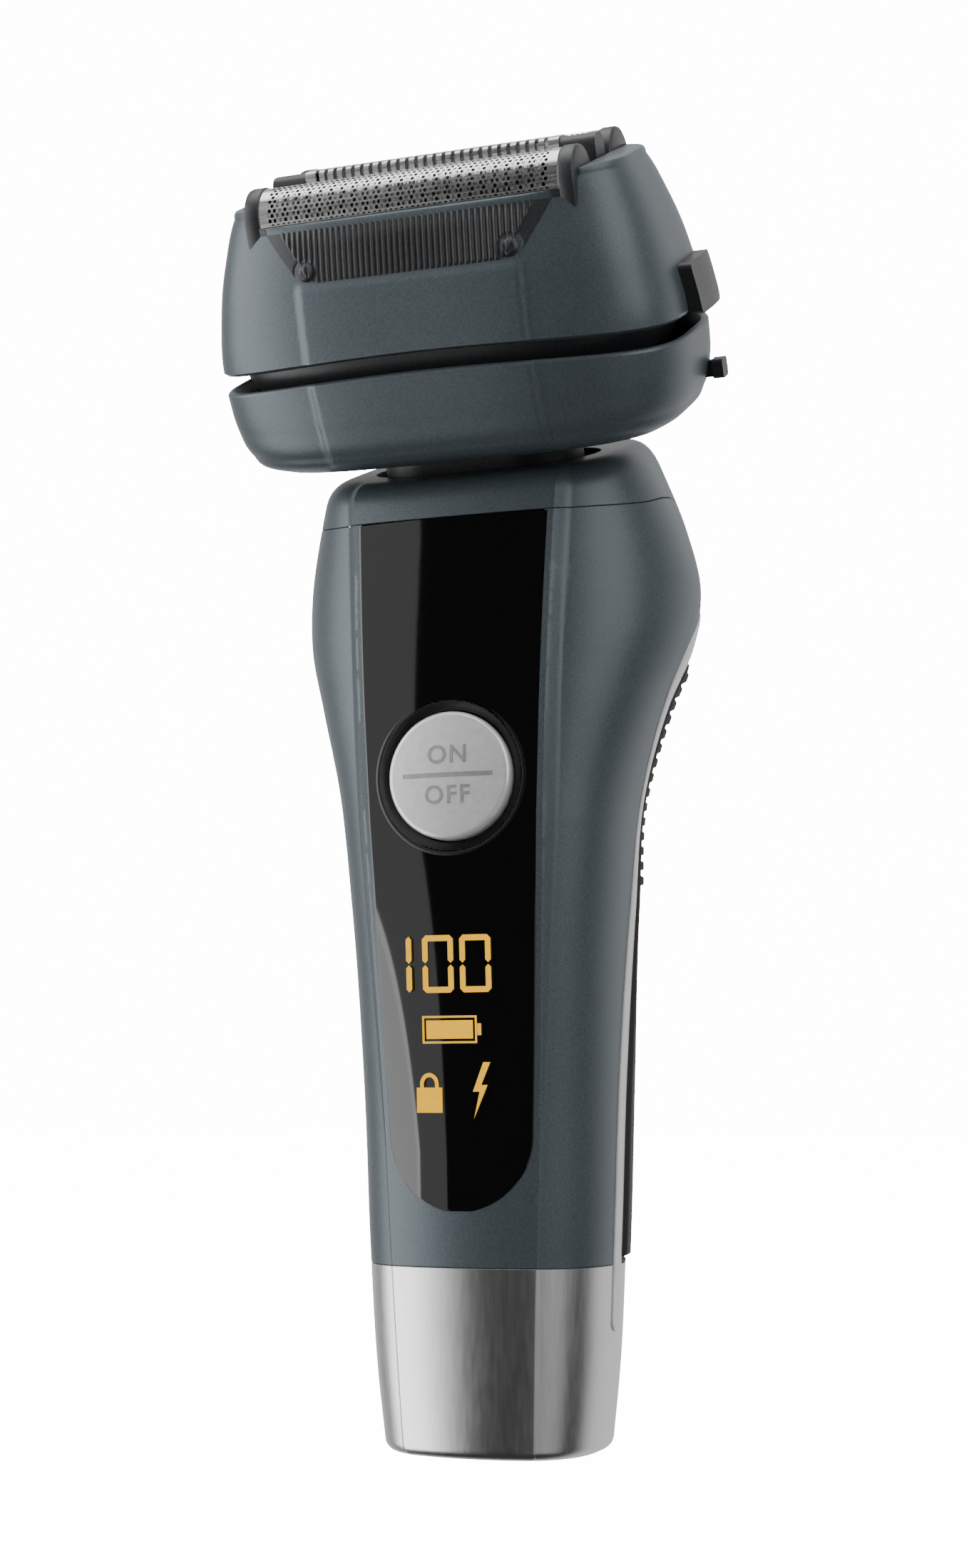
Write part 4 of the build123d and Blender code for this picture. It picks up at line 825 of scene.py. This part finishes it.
for a in np.linspace(0.15, pi / 2, 9):
    pull = 0.45 * (1 - cos(a))
    w = np.clip(1 - pull / np.maximum(np.hypot(xs - well_x, qs - well_q), 0.6), 0, 1)
    r = crest - TOP_ROUND + TOP_ROUND * sin(a)
    rows.append(np.stack([well_x + (xs - well_x) * w, well_q + (qs - well_q) * w, r], -1))
last = rows[-1]
for t in (0.3, 0.7, 0.97, 1.0):
    x, q = last[:, 0] * (1 - t) + well_x * t, last[:, 1] * (1 - t) + well_q * t
    rows.append(np.stack([x, q, crest], -1))
for drop in (0.3, 2.0, 6.0, 9.5):
    rows.append(np.stack([well_x, well_q, crest - drop], -1))
surface("foil_frame_skin", in_head(np.array(rows)), GREY, "foil_frame", closed=True,
        replaces=["foil_frame"], slot="grey_paint", sharp=50)

# ---- Skin guides: dark plastic inserts snapped into the front and back walls of the frame. Each is
# wider at its top, with upright ribs and a round dimple in each lower corner.
GUIDE_LOW, GUIDE_HIGH = 29.3, 36.35
DIMPLE_R = 1.15
RIB_STEP = 0.74
for name, way in (("front", -1), ("rear", 1)):
    across = np.linspace(-1, 1, 1000)
    up = np.concatenate([[0, 0.01], np.linspace(0.03, 0.97, 40), [0.99, 1]])
    r = GUIDE_LOW + up[:, None] * (GUIDE_HIGH - GUIDE_LOW) + 0 * across
    half = 13.9 + (r - GUIDE_LOW) / 7.1 * 5.3
    x = across[None, :] * half
    w = smooth_line(r, FRAME_R, FRAME_HALF)
    d = smooth_line(r, FRAME_R, FRAME_DEPTH)
    q = d * (1 - (np.abs(x) / w) ** HEAD_SQUARE) ** (1 / HEAD_SQUARE)
    inset = np.minimum(np.minimum(r - GUIDE_LOW, GUIDE_HIGH - r), (half - np.abs(x)) * 0.8)
    rib = ease((0.3 - np.abs((x / RIB_STEP) % 1 - 0.5)) / 0.12)
    ribbed = ease((inset - 0.35) / 0.2) * ease((12.5 - np.abs(x) + (r - 29.9) * 0.7) / 0.4)
    lift = 0.28 * ease(inset / 0.25) - 0.2 + 0.22 * rib * ribbed
    dimple = np.hypot(np.abs(x) - 13.0, r - 30.9)
    lift = lift + 0.4 * ease((DIMPLE_R - dimple) / 0.5)
    lift = lift - 0.16 * ease((1.7 - dimple) / 0.3) * (dimple > DIMPLE_R)
    q = q + np.where(lift > 0, lift * ease((36.7 - r) / 3.2), lift)
    points = np.stack([x, way * q, r], -1)
    surface(f"skin_guide_{name}_skin", in_head(points), DARK, "foil_frame", flip=way > 0,
            replaces=[f"skin_guide_{name}"], slot="dark_plastic", sharp=60)

# ---- Foils: two arches of thin steel, really perforated, each held in its own floating frame. Each
# cell is a hexagon with a round hole, in staggered rows; plain strips close the ends and feet.
FOIL = brushed("foil_steel", (0.5, 0.5, 0.49), (0.66, 0.66, 0.65), (300.0, 5000.0, 5000.0), 0.05,
               (0.2, 0.3))
FOIL_R, FOIL_AXIS, FOIL_HALF = 4.0, 36.6, 19.1
CELL = 0.7
HOLE_R = 0.235
FOIL_PLACES = (("front", -8.4), ("rear", 8.4))
MESH_ARC, MESH_LONG = 13.4, 36.4
OVERLAP = 0.35


def on_arch(x, along, q0, grow=0.0):
    """Points on a foil: along is the distance over the arch from its crest."""
    quarter = FOIL_R * pi / 2
    a = np.clip(along, -quarter, quarter) / FOIL_R
    leg = np.abs(along) - quarter
    q = q0 + (FOIL_R + grow) * np.sin(a)
    r = FOIL_AXIS + (FOIL_R + grow) * np.cos(a) - np.maximum(leg, 0)
    return np.stack([x, q, r], -1)


row_step = CELL * 3**0.5 / 2
row_count = int(MESH_ARC / row_step)
column_count = int(MESH_LONG / CELL)
corner = np.arange(12) * pi / 6
outer_reach = np.where(np.arange(12) % 2 == 0, CELL / 2, CELL / 3**0.5)
hex_x, hex_s = outer_reach * np.cos(corner), outer_reach * np.sin(corner)
hole_x, hole_s = HOLE_R * np.cos(corner), HOLE_R * np.sin(corner)
j, i = np.meshgrid(np.arange(row_count), np.arange(column_count), indexing="ij")
cell_x = (i - (column_count - 1) / 2 + 0.5 * (j % 2) - 0.25) * CELL
cell_s = (j - (row_count - 1) / 2) * row_step
template_x = np.concatenate([hex_x, hole_x])
template_s = np.concatenate([hex_s, hole_s])
all_x = (cell_x.reshape(-1, 1) + template_x).ravel()
all_s = (cell_s.reshape(-1, 1) + template_s).ravel()
k = np.arange(12)
cell_faces = np.stack([k, (k + 1) % 12, 12 + (k + 1) % 12, 12 + k], -1)
offsets = np.arange(cell_x.size) * 24
all_faces = (offsets[:, None, None] + cell_faces).reshape(-1, 4)
spread_s = row_count * row_step / 2
spread_x = column_count * CELL / 2
for name, q0 in FOIL_PLACES:
    sheet = in_head(on_arch(all_x, all_s, q0))
    make_piece(f"{name}_foil_mesh", sheet, all_faces, FOIL, f"{name}_foil",
               replaces=[f"{name}_foil"], slot="foil_steel", sharp=60)
    foot = FOIL_R * pi / 2 + FOIL_AXIS - 31.2
    for side in (-1, 1):
        along = np.linspace(spread_s - OVERLAP, foot, 30)
        u, v = np.meshgrid(np.linspace(-FOIL_HALF, FOIL_HALF, 60), along, indexing="ij")
        surface(f"{name}_foil_foot_{side + 1}", in_head(on_arch(u, side * v, q0, 0.01)), FOIL,
                f"{name}_foil", flip=side > 0, slot="foil_steel")
        along = np.linspace(-spread_s - 0.3, spread_s + 0.3, 60)
        u, v = np.meshgrid(np.linspace(spread_x - OVERLAP, FOIL_HALF, 6), along, indexing="ij")
        surface(f"{name}_foil_end_{side + 1}", in_head(on_arch(side * u, v, q0, 0.012)), FOIL,
                f"{name}_foil", flip=side > 0, slot="foil_steel")

# ---- End caps: dark plastic cheeks with round tops and softened edges, moulded on to both ends of
# each foil.
CAP_END, CHEEK_R, CHEEK_FOOT = 21.1, 4.2, 30.0

def cheek(name, q0, body, low, high, radius, foot, node=None):
    """A bar along X with a half-round top, its edges rounded, between two widths."""
    a = np.linspace(0, pi, 40)
    rim_q = np.concatenate([[1.0, 1.0], np.cos(a), [-1.0, -1.0]])
    rim_r = np.concatenate([[foot - FOIL_AXIS, -0.5], np.sin(a) * radius, [-0.5, foot - FOIL_AXIS]])
    rows = []
    soft = 0.35
    stations = [(low, radius - 0.1), (low, soft), (low + 0.1, 0.1), (low + soft, 0)]
    stations += [(high - soft, 0), (high - 0.1, 0.1), (high, soft), (high, radius - 0.1)]
    for x, cut in stations:
        scale = (radius - cut) / radius
        q = q0 + rim_q * radius * scale
        r = FOIL_AXIS + np.where(rim_r > 0, rim_r * scale, rim_r)
        rows.append(np.stack([x + 0 * q, q, r], -1))
    surface(name, in_head(np.array(rows)), DARK, body, slot="dark_plastic", sharp=50,
            replaces=[node] if node else ())


for name, q0 in FOIL_PLACES:
    cheek(f"{name}_cap_right", q0, f"{name}_foil", FOIL_HALF - 0.1, CAP_END,
          CHEEK_R, CHEEK_FOOT, f"{name}_foil_caps")
    cheek(f"{name}_cap_left", q0, f"{name}_foil", -CAP_END, -FOIL_HALF + 0.1,
          CHEEK_R, CHEEK_FOOT)

# ---- Works and small parts: the solids carried over from the CAD, such as the motor, board, cell,
# pins, cutters and screws. Each keeps its shape and takes the finish of its slot.
BLADE = brushed("blade_steel", (0.45, 0.45, 0.45), (0.62, 0.62, 0.62), (500.0, 6000.0, 6000.0),
                0.1, (0.25, 0.38))
STEEL = brushed("fastener_steel", (0.4, 0.4, 0.41), (0.55, 0.55, 0.56), (2000.0, 2000.0, 2000.0),
                0.1, (0.28, 0.42))
WHITE = grained("white_plastic", (0.6, 0.6, 0.57), (0.7, 0.7, 0.67), 2500, 0.1, (0.4, 0.5))
BOARD = grained("board_green", (0.012, 0.07, 0.03), (0.02, 0.1, 0.045), 1500, 0.1, (0.3, 0.4))
WRAP = grained("cell_wrap", (0.02, 0.12, 0.05), (0.03, 0.16, 0.07), 900, 0.05, (0.2, 0.3))
GOLD = brushed("gold_contact", (0.7, 0.5, 0.2), (0.85, 0.65, 0.3), (2000.0, 2000.0, 2000.0), 0.05,
               (0.2, 0.3))
slot_finish = {
    "grey_paint": GREY, "dark_plastic": DARK, "black_gloss": GLOSS, "satin_chrome": CHROME,
    "silver_trim": TRIM, "button_silver": SILVER, "black_rubber": RUBBER, "amber_glow": AMBER,
    "foil_steel": FOIL, "blade_steel": BLADE, "fastener_steel": STEEL, "white_plastic": WHITE,
    "board_green": BOARD, "cell_wrap": WRAP, "motor_steel": STEEL, "gold_contact": GOLD,
}
for part in frame["record"]["subparts"]:
    node = frame["nodes"][part["node"]]
    for place in node.material_slots:
        place.material = slot_finish[part["material_slot"]]

# ---- Camera, light and floor: a pale floor, broad soft lights from the left, front, right and
# above, and a bright surround and floor glow that only the camera sees.
SURROUND = 15.0
FLOOR = 3
camera_data = bpy.data.cameras.new("camera")
camera_data.sensor_fit = "VERTICAL"
camera_data.sensor_height = 36.0
camera_data.lens = 56.31
camera = bpy.data.objects.new("camera", camera_data)
bpy.context.scene.collection.objects.link(camera)
camera.location = (0.10603, -0.29130, 0.04186)
camera.rotation_euler = (pi / 2 + radians(7.45), 0, radians(20.34))
bpy.context.scene.camera = camera


def lamp(name, place, aim, width, height, power, tint=(1, 1, 1)):
    """A soft rectangular light at place, in metres, turned so that its -Z axis points at aim."""
    data = bpy.data.lights.new(name, "AREA")
    data.shape = "RECTANGLE"
    data.size, data.size_y = width, height
    data.energy = power
    data.color = tint
    light = bpy.data.objects.new(name, data)
    light.location = place
    light.rotation_euler = (Vector(aim) - Vector(place)).to_track_quat("-Z", "Y").to_euler()
    bpy.context.scene.collection.objects.link(light)


lamp("soft_left", (-0.453, -0.211, 0.05), (0, 0, 0.05), 0.42, 1.0, 5.6)
lamp("soft_front", (-0.37, -0.52, 0.12), (0, 0, 0.09), 0.2, 0.9, 0.55)
lamp("soft_right", (0.45, -0.21, 0.34), (0, 0, 0.12), 0.4, 0.6, 1.9)
lamp("soft_right_low", (0.38, -0.32, -0.2), (0, 0, 0.05), 0.4, 0.44, 0.24)
lamp("soft_top", (-0.06, -0.1, 0.6), (0, 0, 0.1), 0.5, 0.4, 2.4)
world = bpy.data.worlds.new("surround")
world.use_nodes = True
tree = world.node_tree
tree.nodes.clear()
out = tree.nodes.new("ShaderNodeOutputWorld")
pale = tree.nodes.new("ShaderNodeBackground")
pale.inputs["Color"].default_value = (1, 1, 1, 1)
pale.inputs["Strength"].default_value = SURROUND
dim = tree.nodes.new("ShaderNodeBackground")
dim.inputs["Strength"].default_value = 1.0
direction = tree.nodes.new("ShaderNodeTexCoord")
parts = tree.nodes.new("ShaderNodeSeparateXYZ")
tree.links.new(direction.outputs["Generated"], parts.inputs["Vector"])
tree.links.new(colour_between(tree, parts.outputs["Y"], 0.25, 0.7, (0.05, 0.05, 0.05), (1, 1, 1)),
               dim.inputs["Color"])
rays = tree.nodes.new("ShaderNodeLightPath")
mix = tree.nodes.new("ShaderNodeMixShader")
tree.links.new(rays.outputs["Is Camera Ray"], mix.inputs["Fac"])
tree.links.new(dim.outputs["Background"], mix.inputs[1])
tree.links.new(pale.outputs["Background"], mix.inputs[2])
tree.links.new(mix.outputs["Shader"], out.inputs["Surface"])
bpy.context.scene.world = world
floor_mesh = bpy.data.meshes.new("floor")
floor_mesh.from_pydata([(-FLOOR, -FLOOR, 0), (FLOOR, -FLOOR, 0), (FLOOR, FLOOR, 0),
                        (-FLOOR, FLOOR, 0)], [], [(0, 1, 2, 3)])
floor = bpy.data.objects.new("floor", floor_mesh)
bpy.context.scene.collection.objects.link(floor)
PALE = grained("pale_floor", (0.3, 0.3, 0.3), (0.33, 0.33, 0.33), 40, 0.0, (0.6, 0.7))
shader = next(n for n in PALE.node_tree.nodes if n.type == "BSDF_PRINCIPLED")
seen = PALE.node_tree.nodes.new("ShaderNodeLightPath")
shader.inputs["Emission Color"].default_value = (SURROUND, SURROUND, SURROUND, 1)
PALE.node_tree.links.new(seen.outputs["Is Camera Ray"], shader.inputs["Emission Strength"])
floor_mesh.materials.append(PALE)
floor.visible_glossy = False
